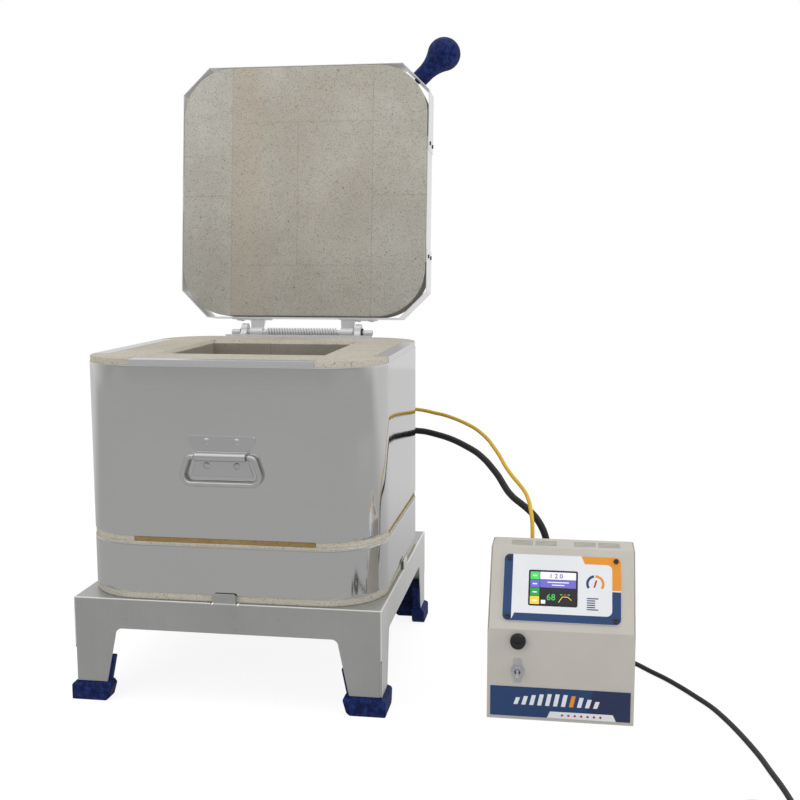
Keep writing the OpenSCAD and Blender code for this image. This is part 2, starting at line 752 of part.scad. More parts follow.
// Lid hinges: a leaf on the band's back, an arm out to the rod and a knuckle round it
leaf_in = 77;
leaf_w = 72;
leaf_screw_x = [17, 44];
leaf_t = 3;
arm_t = 5;
knuckle_d = 19;
leaf_z = rim_z + 4.8;
leaf_h = 56;
hinge_hole_z = [leaf_z + 20, leaf_z + 44];
module hinge_holes() {
    for (s = [-1, 1], z = hinge_hole_z, x = leaf_screw_x)
        translate([s * (arm_x + x), ring_in - 1, z]) rotate([-90, 0, 0])
            cylinder(d = screw_d + 0.4, h = 10);
}
module lid_hinge(s) {
    color("silver") at_lid() difference() {
        union() {
            translate([s > 0 ? leaf_in : -leaf_in - leaf_w, ring_out + 0.05, leaf_z])
                cube([leaf_w, leaf_t, leaf_h]);
            translate([s * arm_x - arm_w / 2, 0, 0]) rotate([90, 0, 90]) linear_extrude(arm_w)
                polygon([[ring_out + 0.05, leaf_z + 2], [ring_out + 0.05, leaf_z + 26],
                         [ring_out + leaf_t + 4, leaf_z + 18],
                         [ring_out + leaf_t + 12, hinge_z + knuckle_d / 2],
                         [hinge_y, hinge_z + knuckle_d / 2], [hinge_y, hinge_z],
                         [hinge_y - knuckle_d / 2, hinge_z + knuckle_d / 2 - arm_t]]);
            translate([s * arm_x - arm_w / 2, hinge_y, hinge_z]) rotate([0, 90, 0])
                cylinder(d = knuckle_d, h = arm_w);
        }
        translate([s * arm_x - arm_w, hinge_y, hinge_z]) rotate([0, 90, 0])
            cylinder(d = rod_d + 2 * rod_fit, h = 2 * arm_w);
        hinge_holes();
    }
    color("dimgray") at_lid() for (z = hinge_hole_z, x = leaf_screw_x)
        translate([s * (arm_x + x), ring_out + leaf_t + 0.05, z]) rotate([-90, 0, 0])
            pan_screw(leaf_t + band_t);
}
module lid_hinge_left() { lid_hinge(-1); }
module lid_hinge_right() { lid_hinge(1); }

// Knob on the band's front right corner, pointing out at 45 degrees
bolt_d = 8;
knob_foot_r = 17.5;
knob_flare_r = 58;
module knob_axis() {
    corner = ring_out - band_corner / 2;
    translate([corner, -corner, lid_z + lid_t / 2]) rotate([0, 0, -45]) rotate([0, 90, 0]) children();
}
module lid_knob() {
    bulb_r = knob_d / 2;
    bulb_z = knob_l - bulb_r;
    color("midnightblue") at_lid() knob_axis() difference() {
        union() {
            translate([0, 0, bulb_z]) sphere(r = bulb_r);
            rotate_extrude() difference() {
                polygon([[0, 0.05], [knob_foot_r, 0.05], [knob_foot_r, 8],
                         [bulb_r - 0.5, bulb_z - 8], [0, bulb_z - 8]]);
                translate([knob_foot_r + knob_flare_r, 18]) circle(knob_flare_r);
            }
        }
        translate([0, 0, -1]) cylinder(d = bolt_d + 0.2, h = 32);
    }
}
module knob_bolt() {
    color("dimgray") at_lid() knob_axis() {
        translate([0, 0, -band_t - 4]) cylinder(d = 14, h = 4, $fn = 6);
        translate([0, 0, -band_t - 1]) cylinder(d = bolt_d, h = 30);
    }
}

// Control box: a base of bottom, back and two cheeks, and one folded front, slope and top
top_y = box_d - box_top_d;
slope_a = atan2(box_h - box_front_h, top_y);
slope_l = norm([box_h - box_front_h, top_y]);
module box_extrude(w) { translate([-w / 2, 0, 0]) rotate([90, 0, 90]) linear_extrude(w) children(); }
module on_slope() { translate([0, 0, box_front_h]) rotate([slope_a, 0, 0]) children(); }
vent_y = 91;
vent_slots = 4;
vent_pitch = 8;
vent_w = 35;
vent_x = [-84, -45, 18, 57];
fuse_x = -67;
fuse_z = 130.3;
toggle_z = 81.7;
box_power_x = -26;
box_power_z = 150;
box_sensor_x = -53;
box_sensor_z = 190;
mains_x = 69;
mains_z = 45;
module control_base() {
    t = box_t;
    color("lightgray") at_box() difference() {
        box_extrude(box_w) polygon([[t + 0.05, 0], [box_d, 0], [box_d, box_h], [top_y, box_h],
                                    [t + 0.05, box_front_h]]);
        box_extrude(box_w - 2 * t)
            polygon([[-10, t], [box_d - t, t], [box_d - t, box_h + 10], [-10, box_h + 10]]);
        translate([-box_w / 2 + t, box_d - 2 * t, box_h - t - 0.05]) cube([box_w - 2 * t, 3 * t, 2 * t]);
        for (g = [[box_power_x, box_power_z, power_gland_d], [box_sensor_x, box_sensor_z, sensor_gland_d],
                  [mains_x, mains_z, power_gland_d]])
            translate([g.x, box_d - 5, g.y]) rotate([-90, 0, 0]) cylinder(d = g.z, h = 10);
    }
}
module control_cover() {
    t = box_t;
    inner_w = box_w - 2 * cover_inset;
    fold_y = top_y + t * tan(slope_a / 2);
    fold_z = box_front_h - t * tan((90 - slope_a) / 2);
    color("lightgray") at_box() difference() {
        union() {
            box_extrude(box_w) polygon([[0, 0.5], [t, 0.5], [t, fold_z], [0, box_front_h]]);
            box_extrude(inner_w) polygon([[0, box_front_h], [top_y, box_h], [box_d, box_h],
                                          [box_d, box_h - t], [fold_y, box_h - t], [t, fold_z]]);
        }
        for (x = vent_x, i = [0:vent_slots - 1])
            translate([x, vent_y + vent_pitch * i, box_h - 3 * t]) cube([vent_w, 4, 4 * t]);
        on_slope() translate([screen_x, panel_s, -10]) linear_extrude(20)
            square([screen_w + 14, screen_h + 14], center = true);
        on_slope() panel_holes(screw_d);
        translate([fuse_x, -1, fuse_z]) rotate([-90, 0, 0]) cylinder(d = 16.4, h = 6);
        translate([fuse_x, -1, toggle_z]) rotate([-90, 0, 0]) cylinder(d = 12.4, h = 6);
    }
}
// Display panel on the slope, with the window and its screws
panel_s = 68.5;
panel_t = 2.5;
screen_x = -14;
panel_screw_x = 85;
panel_screw_s = 48;
module panel_holes(d) {
    for (x = [-1, 1], s = [-1, 1])
        translate([x * panel_screw_x, panel_s + s * panel_screw_s, -10]) cylinder(d = d + 0.4, h = 20);
}
module display_panel() {
    color("steelblue") at_box() on_slope() difference() {
        translate([0, panel_s, 0]) linear_extrude(panel_t) round_rect(panel_w, panel_h, 9);
        translate([screen_x, panel_s, -1]) linear_extrude(panel_t + 2) round_rect(screen_w, screen_h, 3);
        panel_holes(screw_d);
    }
}
module panel_screws() {
    color("dimgray") at_box() on_slope() for (x = [-1, 1], s = [-1, 1])
        translate([x * panel_screw_x, panel_s + s * panel_screw_s, panel_t]) pan_screw(panel_t + box_t + 3);
}
module display() {
    lip = 5;
    color("black") at_box() on_slope() translate([screen_x, panel_s, 0]) {
        translate([0, 0, -7]) linear_extrude(6.9)
            square([screen_w + 2 * lip, screen_h + 2 * lip], center = true);
        translate([0, 0, -0.2]) linear_extrude(2.2) round_rect(screen_w - 0.6, screen_h - 0.6, 2.7);
    }
}
module controller_board() {
    board_w = 150;
    board_h = 92;
    board_t = 1.6;
    board_s = panel_s;
    post_l = 14;
    color("darkgreen") at_box() on_slope() {
        translate([-board_w / 2, board_s - board_h / 2, -box_t - post_l - board_t])
            cube([board_w, board_h, board_t]);
        for (x = [-1, 1], s = [-1, 1])
            translate([x * (board_w / 2 - 6), board_s + s * (board_h / 2 - 4), -box_t - post_l - 0.1])
                cylinder(d = 6, h = post_l);
    }
}
module relay() {
    color("dimgray") at_box() {
        translate([20, 70, box_t]) cube([30, 40, 26]);
        translate([16, 66, box_t]) cube([38, 48, 3]);
    }
}
module transformer() {
    color("sienna") at_box() {
        translate([-60, 62, box_t]) cube([46, 40, 3]);
        translate([-56, 66, box_t]) cube([38, 32, 34]);
        translate([-50, 60, box_t + 5]) cube([26, 44, 24]);
    }
}
// Fuse holder behind the front, with the domed cap that turns in it
module fuse_holder() {
    color("black") at_box() translate([fuse_x, 0, fuse_z]) rotate([90, 0, 0]) difference() {
        union() {
            translate([0, 0, -34]) cylinder(d = 16, h = 34);
            cylinder(d = fuse_cap_d, h = 2);
            translate([0, 0, -box_t - 5]) cylinder(d = 22, h = 5, $fn = 6);
        }
        translate([0, 0, -28]) cylinder(d = 10.6, h = 40);
    }
}
module fuse_cap() {
    cap_h = 9;
    dome_r = 24;
    color("black") at_box() translate([fuse_x, 0, fuse_z]) rotate([90, 0, 0]) difference() {
        union() {
            translate([0, 0, 2.3]) intersection() {
                cylinder(d = fuse_cap_d - 1.5, h = cap_h);
                translate([0, 0, cap_h - dome_r]) sphere(r = dome_r);
            }
            translate([0, 0, -22]) cylinder(d = 10, h = 25);
        }
        translate([-6, -0.8, cap_h + 1]) cube([12, 1.6, 4]);
    }
}
// Toggle switch: body, bushing, hex nut and on-off plate, with the lever in its bushing
pivot_l = 3;
lever_tilt = 15;
pin_d = 2.4;
pin_l = 9.2;
module toggle_switch() {
    color("silver") at_box() translate([fuse_x, 0, toggle_z]) rotate([90, 0, 0]) difference() {
        union() {
            translate([-7, -11, -box_t - 22]) cube([14, 22, 22]);
            translate([0, 0, -box_t - 1]) cylinder(d = 12, h = box_t + 9);
            translate([0, 0, 1.05]) cylinder(d = 19, h = 3, $fn = 6);
            linear_extrude(1) {
                circle(11);
                round_rect(13, 39, 3);
            }
        }
        translate([0, 0, -8]) cylinder(d = 9.6, h = 20);
    }
}
module toggle_lever() {
    color("silver") at_box() translate([fuse_x, -pivot_l, toggle_z]) rotate([90 + lever_tilt, 0, 0]) {
        sphere(d = 9);
        rotate([0, 90, 0]) cylinder(d = pin_d, h = pin_l, center = true);
        cylinder(d1 = 4.4, d2 = 5.6, h = lever_l);
        translate([0, 0, lever_l]) sphere(d = 5.6);
    }
}
module label_plate() {
    color("steelblue") at_box() translate([-box_w / 2 + 5.5, 0, 6]) rotate([90, 0, 0])
        linear_extrude(0.8) square([box_w - 11, label_h]);
}
module box_power_gland() {
    color("black") at_box() translate([box_power_x, box_d, box_power_z]) rotate([-90, 0, 0])
        gland(power_gland_d, power_d, gland_tip_l);
}
module box_sensor_gland() {
    color("black") at_box() translate([box_sensor_x, box_d, box_sensor_z]) rotate([-90, 0, 0])
        gland(sensor_gland_d, sensor_d, gland_tip_l);
}
module mains_gland() {
    color("black") at_box() translate([mains_x, box_d, mains_z]) rotate([-90, 0, 0])
        gland(power_gland_d, mains_d, gland_tip_l);
}

// Cord routes about the kiln's middle, chosen by hand
sensor_route = [
    [211, 282, 424], [225, 282, 424], [240, 281, 423], [258, 278, 421], [280, 268, 418], [302, 252, 416],
    [325, 232, 412], [348, 208, 407], [370, 184, 400], [393, 152, 388], [407, 130, 376],
    [420, 108, 363], [432, 84, 349], [446, 60, 336], [460, 36, 326], [472, 14, 316],
    [480, -8, 304], [484, -25, 291], [487, -38, 274], [488, -45, 254], [488, -47, 236],
    [488, -47, 219], [488, -49.2, 207.9], [488, -55.5, 198.5], [488, -64.9, 192.2],
    [488, -76, 190], [488, -81, 190]];
power_route = [
    [211, 282, 380], [225, 282, 380], [240, 281, 379], [258, 278, 378], [280, 268, 375], [303, 252, 372],
    [325, 232, 368], [348, 208, 362], [370, 184, 355], [389, 156, 346], [402, 136, 337],
    [417, 112, 325], [429, 88, 313], [439, 68, 304], [451, 48, 297], [464, 29, 292],
    [477, 12, 286], [489, -2, 278], [499, -12, 267], [507, -19, 253], [512, -22.5, 237],
    [514.5, -24, 220], [515, -24, 202], [515, -26.5, 185.9], [515, -33.9, 171.4],
    [515, -45.4, 159.9], [515, -59.9, 152.5], [515, -76, 150], [515, -81, 150]];
mains_route = [
    [610, -81, 45], [610, -73, 45], [610, -60, 43.8], [610, -46, 40], [610, -30, 33], [610, -12, 23],
    [611, 6, 14],
    [616, 24, 8], [629, 37, 5], [646, 41, 4.3], [662, 37, 4.3], [675, 26, 4.3], [686, 11, 4.3],
    [698, -6, 4.3], [722, -38, 4.3], [745, -75, 4.3], [766, -113, 4.3], [785, -150, 4.3],
    [800, -191, 4.3], [813, -235, 4.3], [825, -283, 4.3], [835, -330, 4.3], [842, -374, 4.3],
    [849, -415, 4.3], [854, -455, 4.3], [857, -490, 4.3], [857, -516, 4.3]];
mains_tail = [
    [790, -589, 9], [776, -591, 8], [762, -593, 10], [748, -594, 13], [734, -594, 13]];
coil_at = [806, -540, 0];
plug_at = [738, -594, 13];
module kiln_power_cord() { color("black") at_kiln() tube(power_route, power_d, 10); }
module sensor_cord() { color("gold") at_kiln() tube(sensor_route, sensor_d, 8); }
module mains_cord() {
    color("black") at_kiln() {
        tube(mains_route, mains_d, 10);
        tube(mains_tail, mains_d, 10);
    }
}
module mains_coil() {
    color("black") at_kiln() translate(coil_at) rotate_extrude()
        translate([coil_d / 2 - mains_d, 0]) square([2 * mains_d, 2 * mains_d]);
}
module mains_plug() {
    color("black") at_kiln() translate(plug_at) rotate([0, -90, 0]) {
        difference() {
            union() {
                cylinder(d1 = mains_d + 3, d2 = mains_d + 8, h = 26);
                translate([0, 0, 25]) linear_extrude(34) round_rect(26, 24, 6);
            }
            translate([0, 0, -1]) cylinder(d = mains_d + 0.2, h = 5);
        }
        for (s = [-1, 1]) translate([-3.15, s * 6.35 - 0.75, 59]) cube([6.3, 1.5, 17]);
        translate([9, 0, 59]) cylinder(d = 4.8, h = 19);
    }
}

stand();
foot_front_left();
foot_front_right();
foot_back_left();
foot_back_right();
floor_slab();
floor_jacket();
chamber_bricks_low();
chamber_bricks_middle();
chamber_bricks_top();
chamber_jacket();
rim_trims();
seam_strips();
heating_elements();
terminal_block();
terminal_cover();
terminal_screws();
thermocouple();
kiln_power_gland();
kiln_sensor_gland();
hinge_base();
hinge_rod();
hinge_clips();
hinge_spring();
hinge_screws();
handle_plate();
handle_bail();
handle_rivets();
lid_slab();
lid_band_front();
lid_band_back();
lid_band_link();
lid_band_screws();
lid_hinge_left();
lid_hinge_right();
lid_knob();
knob_bolt();
control_base();
control_cover();
display_panel();
panel_screws();
display();
controller_board();
relay();
transformer();
fuse_holder();
fuse_cap();
toggle_switch();
toggle_lever();
label_plate();
box_power_gland();
box_sensor_gland();
mains_gland();
kiln_power_cord();
sensor_cord();
mains_cord();
mains_coil();
mains_plug();
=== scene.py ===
"""Looks of a bead annealing kiln: a brick firing chamber on a folded sheet stand, with its lid
standing open on a counterbalance hinge, and a separate control box on cords.
Every length is in metres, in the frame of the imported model."""
import json
import math

import bmesh
import bpy
import numpy as np
from mathutils import Matrix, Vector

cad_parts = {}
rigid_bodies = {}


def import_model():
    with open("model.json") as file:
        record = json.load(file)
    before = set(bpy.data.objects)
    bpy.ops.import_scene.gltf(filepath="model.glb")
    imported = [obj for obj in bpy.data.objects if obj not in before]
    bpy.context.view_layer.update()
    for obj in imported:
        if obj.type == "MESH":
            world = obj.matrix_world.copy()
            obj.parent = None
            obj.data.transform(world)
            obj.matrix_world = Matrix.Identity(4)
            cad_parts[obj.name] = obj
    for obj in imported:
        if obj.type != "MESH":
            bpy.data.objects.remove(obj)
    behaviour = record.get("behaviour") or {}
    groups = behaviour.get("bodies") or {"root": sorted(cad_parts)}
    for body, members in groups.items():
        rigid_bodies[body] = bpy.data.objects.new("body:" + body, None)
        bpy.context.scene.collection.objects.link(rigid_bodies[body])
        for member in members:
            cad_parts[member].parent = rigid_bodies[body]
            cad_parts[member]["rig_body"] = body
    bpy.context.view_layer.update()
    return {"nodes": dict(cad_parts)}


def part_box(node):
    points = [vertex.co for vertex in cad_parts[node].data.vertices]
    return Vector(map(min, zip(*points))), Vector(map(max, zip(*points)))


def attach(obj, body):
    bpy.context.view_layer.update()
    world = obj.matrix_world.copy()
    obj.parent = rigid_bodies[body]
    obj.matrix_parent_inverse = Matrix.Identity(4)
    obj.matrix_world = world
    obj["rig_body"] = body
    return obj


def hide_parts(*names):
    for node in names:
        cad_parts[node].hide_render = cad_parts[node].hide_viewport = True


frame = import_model()
NODES = frame["nodes"]
MM = 0.001
UP = np.array((0.0, 0.0, 1.0))


# Places and sizes read from the frame

def corners(node):
    """Lowest and highest corner of a node, as arrays."""
    low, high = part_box(node)
    return np.array(low), np.array(high)


jacket_low, jacket_high = corners("chamber_jacket")
HALF = (jacket_high[0] - jacket_low[0]) / 2
KILN = np.array(((jacket_low[0] + jacket_high[0]) / 2, (jacket_low[1] + jacket_high[1]) / 2, 0.0))
RIM_Z = corners("rim_trims")[1][2]
SEAM_Z = corners("seam_strips")[0][2]
base_low, base_high = corners("control_base")
BOX = np.array(((base_low[0] + base_high[0]) / 2, corners("control_cover")[0][1], 0.0))
BOX_W = base_high[0] - base_low[0]

# Sizes that no box gives, as the construction has them
STAND_H, STAND_HALF, SLIT_TOP = 0.175, 0.259, 0.092
WALL_T = COURSE_H = 0.1143
LID_T, LID_GAP, LID_OPEN = 0.0762, 0.0005, math.radians(96)
CORNER_R, SHEET_T = 0.1016, 0.0012
HINGE_Y, HINGE_Z = HALF + 0.033, RIM_Z + 0.0059

# Edges that turn further than this are rounded and shaded sharp
SHARP_ANGLE = math.radians(30)


def turn_about_x(points, angle):
    """Points turned about the X axis: y' = y cos a - z sin a, z' = y sin a + z cos a."""
    c, s = math.cos(angle), math.sin(angle)
    return points @ np.array(((1, 0, 0), (0, c, s), (0, -s, c)))


def on_lid(points):
    """Points of the shut lid, about the kiln, turned open about the hinge axis."""
    hinge = np.array((0.0, HINGE_Y, HINGE_Z))
    return turn_about_x(points - hinge, -LID_OPEN) + hinge + KILN


# Meshes

def linked(name, data):
    """A new object at the origin, linked to the scene."""
    thing = bpy.data.objects.new(name, data)
    bpy.context.scene.collection.objects.link(thing)
    return thing


def riding(name, mesh, body):
    """A linked mesh object that rides on a body."""
    piece = linked(name, mesh)
    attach(piece, body)
    return piece


def put_on(mesh, finish):
    """Gives a mesh one finish, or every finish of a list."""
    for one in finish if isinstance(finish, list) else [finish]:
        mesh.materials.append(one)


def new_piece(name, points, faces, finish, body, slot, smooth=True, paint=None):
    """A mesh object at the origin from points and faces, riding on a body. paint is the number
    of each face's finish."""
    mesh = bpy.data.meshes.new(name)
    mesh.from_pydata(np.asarray(points).reshape(-1, 3).tolist(), [], faces)
    put_on(mesh, finish)
    if paint is not None:
        mesh.polygons.foreach_set("material_index", np.asarray(paint, np.int32))
    mesh.polygons.foreach_set("use_smooth", np.full(len(mesh.polygons), smooth))
    mesh.validate()
    mesh.update()
    return riding(name, mesh, body)


def rebuilt(name, points, faces, finish, body, slot, *nodes):
    """A new piece that stands for CAD nodes: doubles merged and every face turned outwards."""
    piece = new_piece(name, points, faces, finish, body, slot)
    work = bmesh.new()
    work.from_mesh(piece.data)
    bmesh.ops.remove_doubles(work, verts=work.verts, dist=1e-6)
    bmesh.ops.recalc_face_normals(work, faces=work.faces)
    work.to_mesh(piece.data)
    work.free()
    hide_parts(*nodes)
    return piece


def grid_faces(rows, columns, closed=False):
    """Quads between the neighbours of a grid of rings. The last ring is joined to the first when
    closed, and otherwise both end rings are filled."""
    r, c = (a.ravel() for a in np.indices((rows if closed else rows - 1, columns)))
    r2, c2 = (r + 1) % rows, (c + 1) % columns
    quads = np.stack((r * columns + c, r * columns + c2, r2 * columns + c2, r2 * columns + c), 1)
    last = (rows - 1) * columns
    ends = [] if closed else [list(range(columns))[::-1], list(range(last, last + columns))]
    return quads.tolist() + ends


def smooth_path(points, per=8):
    """Catmull-Rom curve through given points, each stretch a cubic in its own 0 to 1."""
    p = np.asarray(points, float)
    q = np.vstack((2 * p[0] - p[1], p, 2 * p[-1] - p[-2]))
    t = np.linspace(0, 1, per, endpoint=False)[:, None, None]
    a, b, c, d = q[:-3], q[1:-2], q[2:-1], q[3:]
    curve = 0.5 * (2 * b + (c - a) * t + (2 * a - 5 * b + 4 * c - d) * t ** 2
                   + (3 * b - a - 3 * c + d) * t ** 3)
    return np.vstack((curve.transpose(1, 0, 2).reshape(-1, 3), p[-1]))


def tube(path, radius, sides=16):
    """Rings of a round rod: centre + r (cos a * n + sin a * b), with n and b square to the path.
    n is the tangent crossed with the direction in which the path runs least."""
    path = np.asarray(path, float)
    tangent = np.gradient(path, axis=0)
    tangent /= np.linalg.norm(tangent, axis=1)[:, None]
    least = np.linalg.svd(tangent, full_matrices=True)[2][-1]
    n = np.cross(tangent, least)
    n /= np.linalg.norm(n, axis=1)[:, None]
    b = np.cross(tangent, n)
    a = np.linspace(0, 2 * math.pi, sides, endpoint=False)[None, :, None]
    radius = np.broadcast_to(radius, len(path))[:, None, None]
    rings = path[:, None] + radius * (np.cos(a) * n[:, None] + np.sin(a) * b[:, None])
    return rings.reshape(-1, 3), grid_faces(len(path), sides)


def join(parts):
    """Several (points, faces) as one."""
    points, faces, start = [], [], 0
    for part_points, part_faces in parts:
        points.append(part_points)
        faces += [[i + start for i in face] for face in part_faces]
        start += len(points[-1])
    return np.vstack(points), faces


def revolve(profile, steps):
    """A profile of (radius, height) turned about Z: (r cos a, r sin a, z)."""
    profile = np.asarray(profile, float)
    a = np.linspace(0, 2 * math.pi, steps, endpoint=False)[None]
    r, z = profile[:, :1], profile[:, 1:]
    points = np.stack((r * np.cos(a), r * np.sin(a), z + 0 * a), -1)
    return points.reshape(-1, 3), grid_faces(len(profile), steps)


def round_edges(piece, width, steps):
    """Bevels every sharp edge, and weights the normals so flats stay flat."""
    bevel = piece.modifiers.new("round_edges", "BEVEL")
    bevel.width = width
    bevel.segments = steps
    bevel.limit_method = "ANGLE"
    bevel.angle_limit = SHARP_ANGLE
    bevel.use_clamp_overlap = False
    bevel.miter_outer = "MITER_SHARP"
    piece.modifiers.new("flat_faces", "WEIGHTED_NORMAL").keep_sharp = True


def dress(node, finish, slot, edge, steps, paint=None):
    """A copy of a CAD node with its doubles merged, its flats joined and its edges rounded.
    paint takes the faces' middles and gives each face the number of its finish."""
    source = NODES[node]
    mesh = source.data.copy()
    work = bmesh.new()
    work.from_mesh(mesh)
    bmesh.ops.remove_doubles(work, verts=work.verts, dist=2e-5)
    bmesh.ops.dissolve_limit(work, angle_limit=math.radians(0.6), verts=work.verts, edges=work.edges,
                             use_dissolve_boundaries=False)
    work.to_mesh(mesh)
    work.free()
    mesh.materials.clear()
    put_on(mesh, finish)
    count = len(mesh.polygons)
    numbers = np.zeros(count, np.int32)
    if paint is not None:
        middles = np.zeros(count * 3)
        mesh.polygons.foreach_get("center", middles)
        numbers = np.asarray(paint(middles.reshape(-1, 3)), np.int32)
    mesh.polygons.foreach_set("material_index", numbers)
    mesh.polygons.foreach_set("use_smooth", np.ones(count, bool))
    mesh.set_sharp_from_angle(angle=SHARP_ANGLE)
    mesh.update()
    piece = riding(node + "_dressed", mesh, source["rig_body"])
    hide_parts(node)
    if edge:
        round_edges(piece, edge, steps)


def dress_all(rows):
    """Dresses the nodes that each row names with its finish, slot, edge and number of steps."""
    for nodes, *look in rows:
        for node in nodes.split():
            dress(node, *look)


# Shader maths

class Wire:
    """One output of a node. Sums and products of wires and numbers add Math nodes."""

    def __init__(self, net, node, output):
        self.net, self.node, self.output = net, node, output

    def out(self, output):
        """Another output of the same node."""
        return Wire(self.net, self.node, output)

    def math(self, operation, *others):
        """A Math node on this wire and the others."""
        return self.net.add("Math", {"operation": operation}, dict(enumerate((self, *others))))

    def __add__(self, other):
        return self.math("ADD", other)

    def __sub__(self, other):
        return self.math("SUBTRACT", other)

    def __mul__(self, other):
        return self.math("MULTIPLY", other)

    def __rsub__(self, other):
        return self.net.add("Math", {"operation": "SUBTRACT"}, {0: other, 1: self})

    __radd__ = __add__
    __rmul__ = __mul__

    def under(self, limit):
        """1 below the limit and 0 elsewhere."""
        return self.math("LESS_THAN", limit)

    def over(self, limit):
        """1 above the limit and 0 elsewhere."""
        return self.math("GREATER_THAN", limit)

    def ramp(self, low, high):
        """0 below low, 1 above high and a smooth step between."""
        return self.net.add("MapRange", {"interpolation_type": "SMOOTHSTEP"},
                            {"Value": self, "From Min": low, "From Max": high}, "Result")


class Net:
    """The node tree of one material or world."""

    def __init__(self, owner):
        owner.use_nodes = True
        self.owner, self.tree = owner, owner.node_tree
        self.tree.nodes.clear()

    def add(self, kind, settings=None, values=None, output=0):
        """A shader node of this kind, with its settings, then the values or links of its sockets."""
        node = self.tree.nodes.new("ShaderNode" + kind)
        for key, value in (settings or {}).items():
            setattr(node, key, value)
        for key, value in (values or {}).items():
            if isinstance(value, Wire):
                self.tree.links.new(value.node.outputs[value.output], node.inputs[key])
            else:
                node.inputs[key].default_value = value
        return Wire(self, node, output)

    def place(self, stretch=None):
        """Object coordinates, stretched where a finish runs one way."""
        where = self.add("TexCoord", output="Object")
        if stretch is None:
            return where
        return self.add("Mapping", {}, {"Vector": where, "Scale": stretch}, "Vector")

    def noise(self, where, scale, detail, roughness=0.55):
        """Soft noise from 0 to 1."""
        return self.add("TexNoise", {}, {"Vector": where, "Scale": scale, "Detail": detail,
                                         "Roughness": roughness}, "Fac")

    def cells(self, where, scale):
        """Distance to the middle of the nearest of many scattered cells."""
        return self.add("TexVoronoi", {"feature": "F1"}, {"Vector": where, "Scale": scale}, "Distance")

    def mix(self, share, a, b):
        """Colour a where share is 0 and colour b where it is 1."""
        return self.add("Mix", {"data_type": "RGBA"}, {0: share, 6: a, 7: b}, 2)

    def part(self, vector, axis):
        """One number of a vector or a colour."""
        return self.add("SeparateXYZ", {}, {"Vector": vector}, axis)

    def bump(self, height, strength, distance):
        """A normal tilted by a height."""
        return self.add("Bump", {}, {"Height": height, "Strength": strength, "Distance": distance},
                        "Normal")

    def rays(self):
        """The share of rays that the camera sees, straight or through glass, and of mirrored ones."""
        ray = self.add("LightPath", output="Is Camera Ray")
        return ray + ray.out("Is Transmission Ray"), ray.out("Is Glossy Ray")

    def off_middle(self, where):
        """The distances to the kiln's middle along X and Y."""
        return [(self.part(where, axis) - KILN[axis]).math("ABSOLUTE") for axis in (0, 1)]

    def surface(self, **values):
        """Ends the tree in a Principled shader with these sockets, spaces written as _."""
        named = {key.replace("_", " "): value for key, value in values.items()}
        shader = self.add("BsdfPrincipled", {}, named)
        self.add("OutputMaterial", {}, {"Surface": shader})
        return self.owner


def material(name):
    """The node tree of a new material."""
    return Net(bpy.data.materials.new(name))


def srgb(red, green, blue):
    """A linear colour from 0 to 255 screen values: ((c + 0.055) / 1.055) ** 2.4."""
    c = np.array((red, green, blue)) / 255
    linear = np.where(c <= 0.04045, c / 12.92, ((c + 0.055) / 1.055) ** 2.4)
    return (*linear.tolist(), 1.0)


def grey(tone):
    """A linear grey from a screen value."""
    return srgb(tone, tone, tone)


def shifted(tone, by):
    """A linear colour from screen values that are all moved by the same step."""
    return srgb(*(min(max(c + by, 0), 255) for c in tone))


# Finishes

def pits(net, where, scale, share, size):
    """1 inside small round pits: the middles of the few cells whose own number is under share."""
    cell = net.cells(where, scale)
    number = net.part(cell.out("Color"), 0)
    return number.under(share) * (1 - cell.ramp(size * 0.6, size))


def brick(name, light, dark, stain, pit, on_lid_face=False, inside=None, shade_tone=None):
    """Insulating firebrick: soft mottled tone, fine grain, pits of two sizes and brown specks.
    inside gives the share of painted shade at each place, which darkens the tone toward the last colour."""
    net = material(name)
    where = net.place()
    cloud = net.noise(where, 7, 3)
    mottle = net.noise(where, 60, 4)
    grain = net.noise(where, 900, 2)
    tone = net.mix((cloud * 0.8 + mottle * 0.3 - 0.05).ramp(0.3, 0.72), dark, light)
    if on_lid_face:
        tone = net.mix(lid_tan(net, where) * 0.4, tone, stain)
        tone = net.mix(lid_joints(net, where) * 0.22, tone, pit)
    grit = net.noise(where, 400, 4)
    small = pits(net, where, 250, 0.32, 0.36)
    large = pits(net, where, 80, 0.12, 0.17)
    specks = pits(net, where, 420, 0.2, 0.4)
    tone = net.mix(grit.ramp(0.48, 0.68) * 0.4, tone, pit)
    # Pits are painted darker: painted shade in their hollows.
    tone = net.mix(small * 0.5 + large * 0.65, tone, pit)
    tone = net.mix(specks * 0.6, tone, stain)
    # Painted shade: the tone darkens toward the last colour where inside gives a share.
    if inside is not None:
        tone = net.mix(inside(net, where), tone, shade_tone)
    height = grain * 0.25 + mottle * 0.35 - small * 0.8 - large * 1.6
    return net.surface(Base_Color=tone, Roughness=0.93, Specular_IOR_Level=0.25,
                       Normal=net.bump(height, 0.55, 0.0008))


LID_COLUMNS = (KILN[0] - 0.150, KILN[0] + 0.144)


def lid_joints(net, where):
    """Hairline joints on the lid: two columns, two rows and a middle line between them, and one
    row at each side."""
    x, z = net.part(where, 0), net.part(where, 2)
    left, right = LID_COLUMNS
    middle = KILN[0] - 0.011
    high, low, side = RIM_Z + 0.4325, RIM_Z + 0.143, RIM_Z + 0.284

    def line(value, at):
        """1 along a hairline where the value is at its place."""
        return 1 - (value - at).math("ABSOLUTE").ramp(0.0003, 0.0013)
    between = x.over(left) * x.under(right)
    rows = (line(z, high) + line(z, low)) * between + line(z, side) * (1 - between)
    upright = line(x, left) + line(x, right) + line(x, middle) * z.under(high) * z.over(low)
    return (rows + upright).math("MINIMUM", 1.0)


def lid_tan(net, where):
    """Share of tan for each column of bricks on the lid's face, the most beside the left joint."""
    x = net.part(where, 0)
    left, right = LID_COLUMNS
    tan = x.over(left) * (1 - x.ramp(left + 0.035, left + 0.09) * 0.6)
    return tan * (1 - x.over(right) * 0.7)


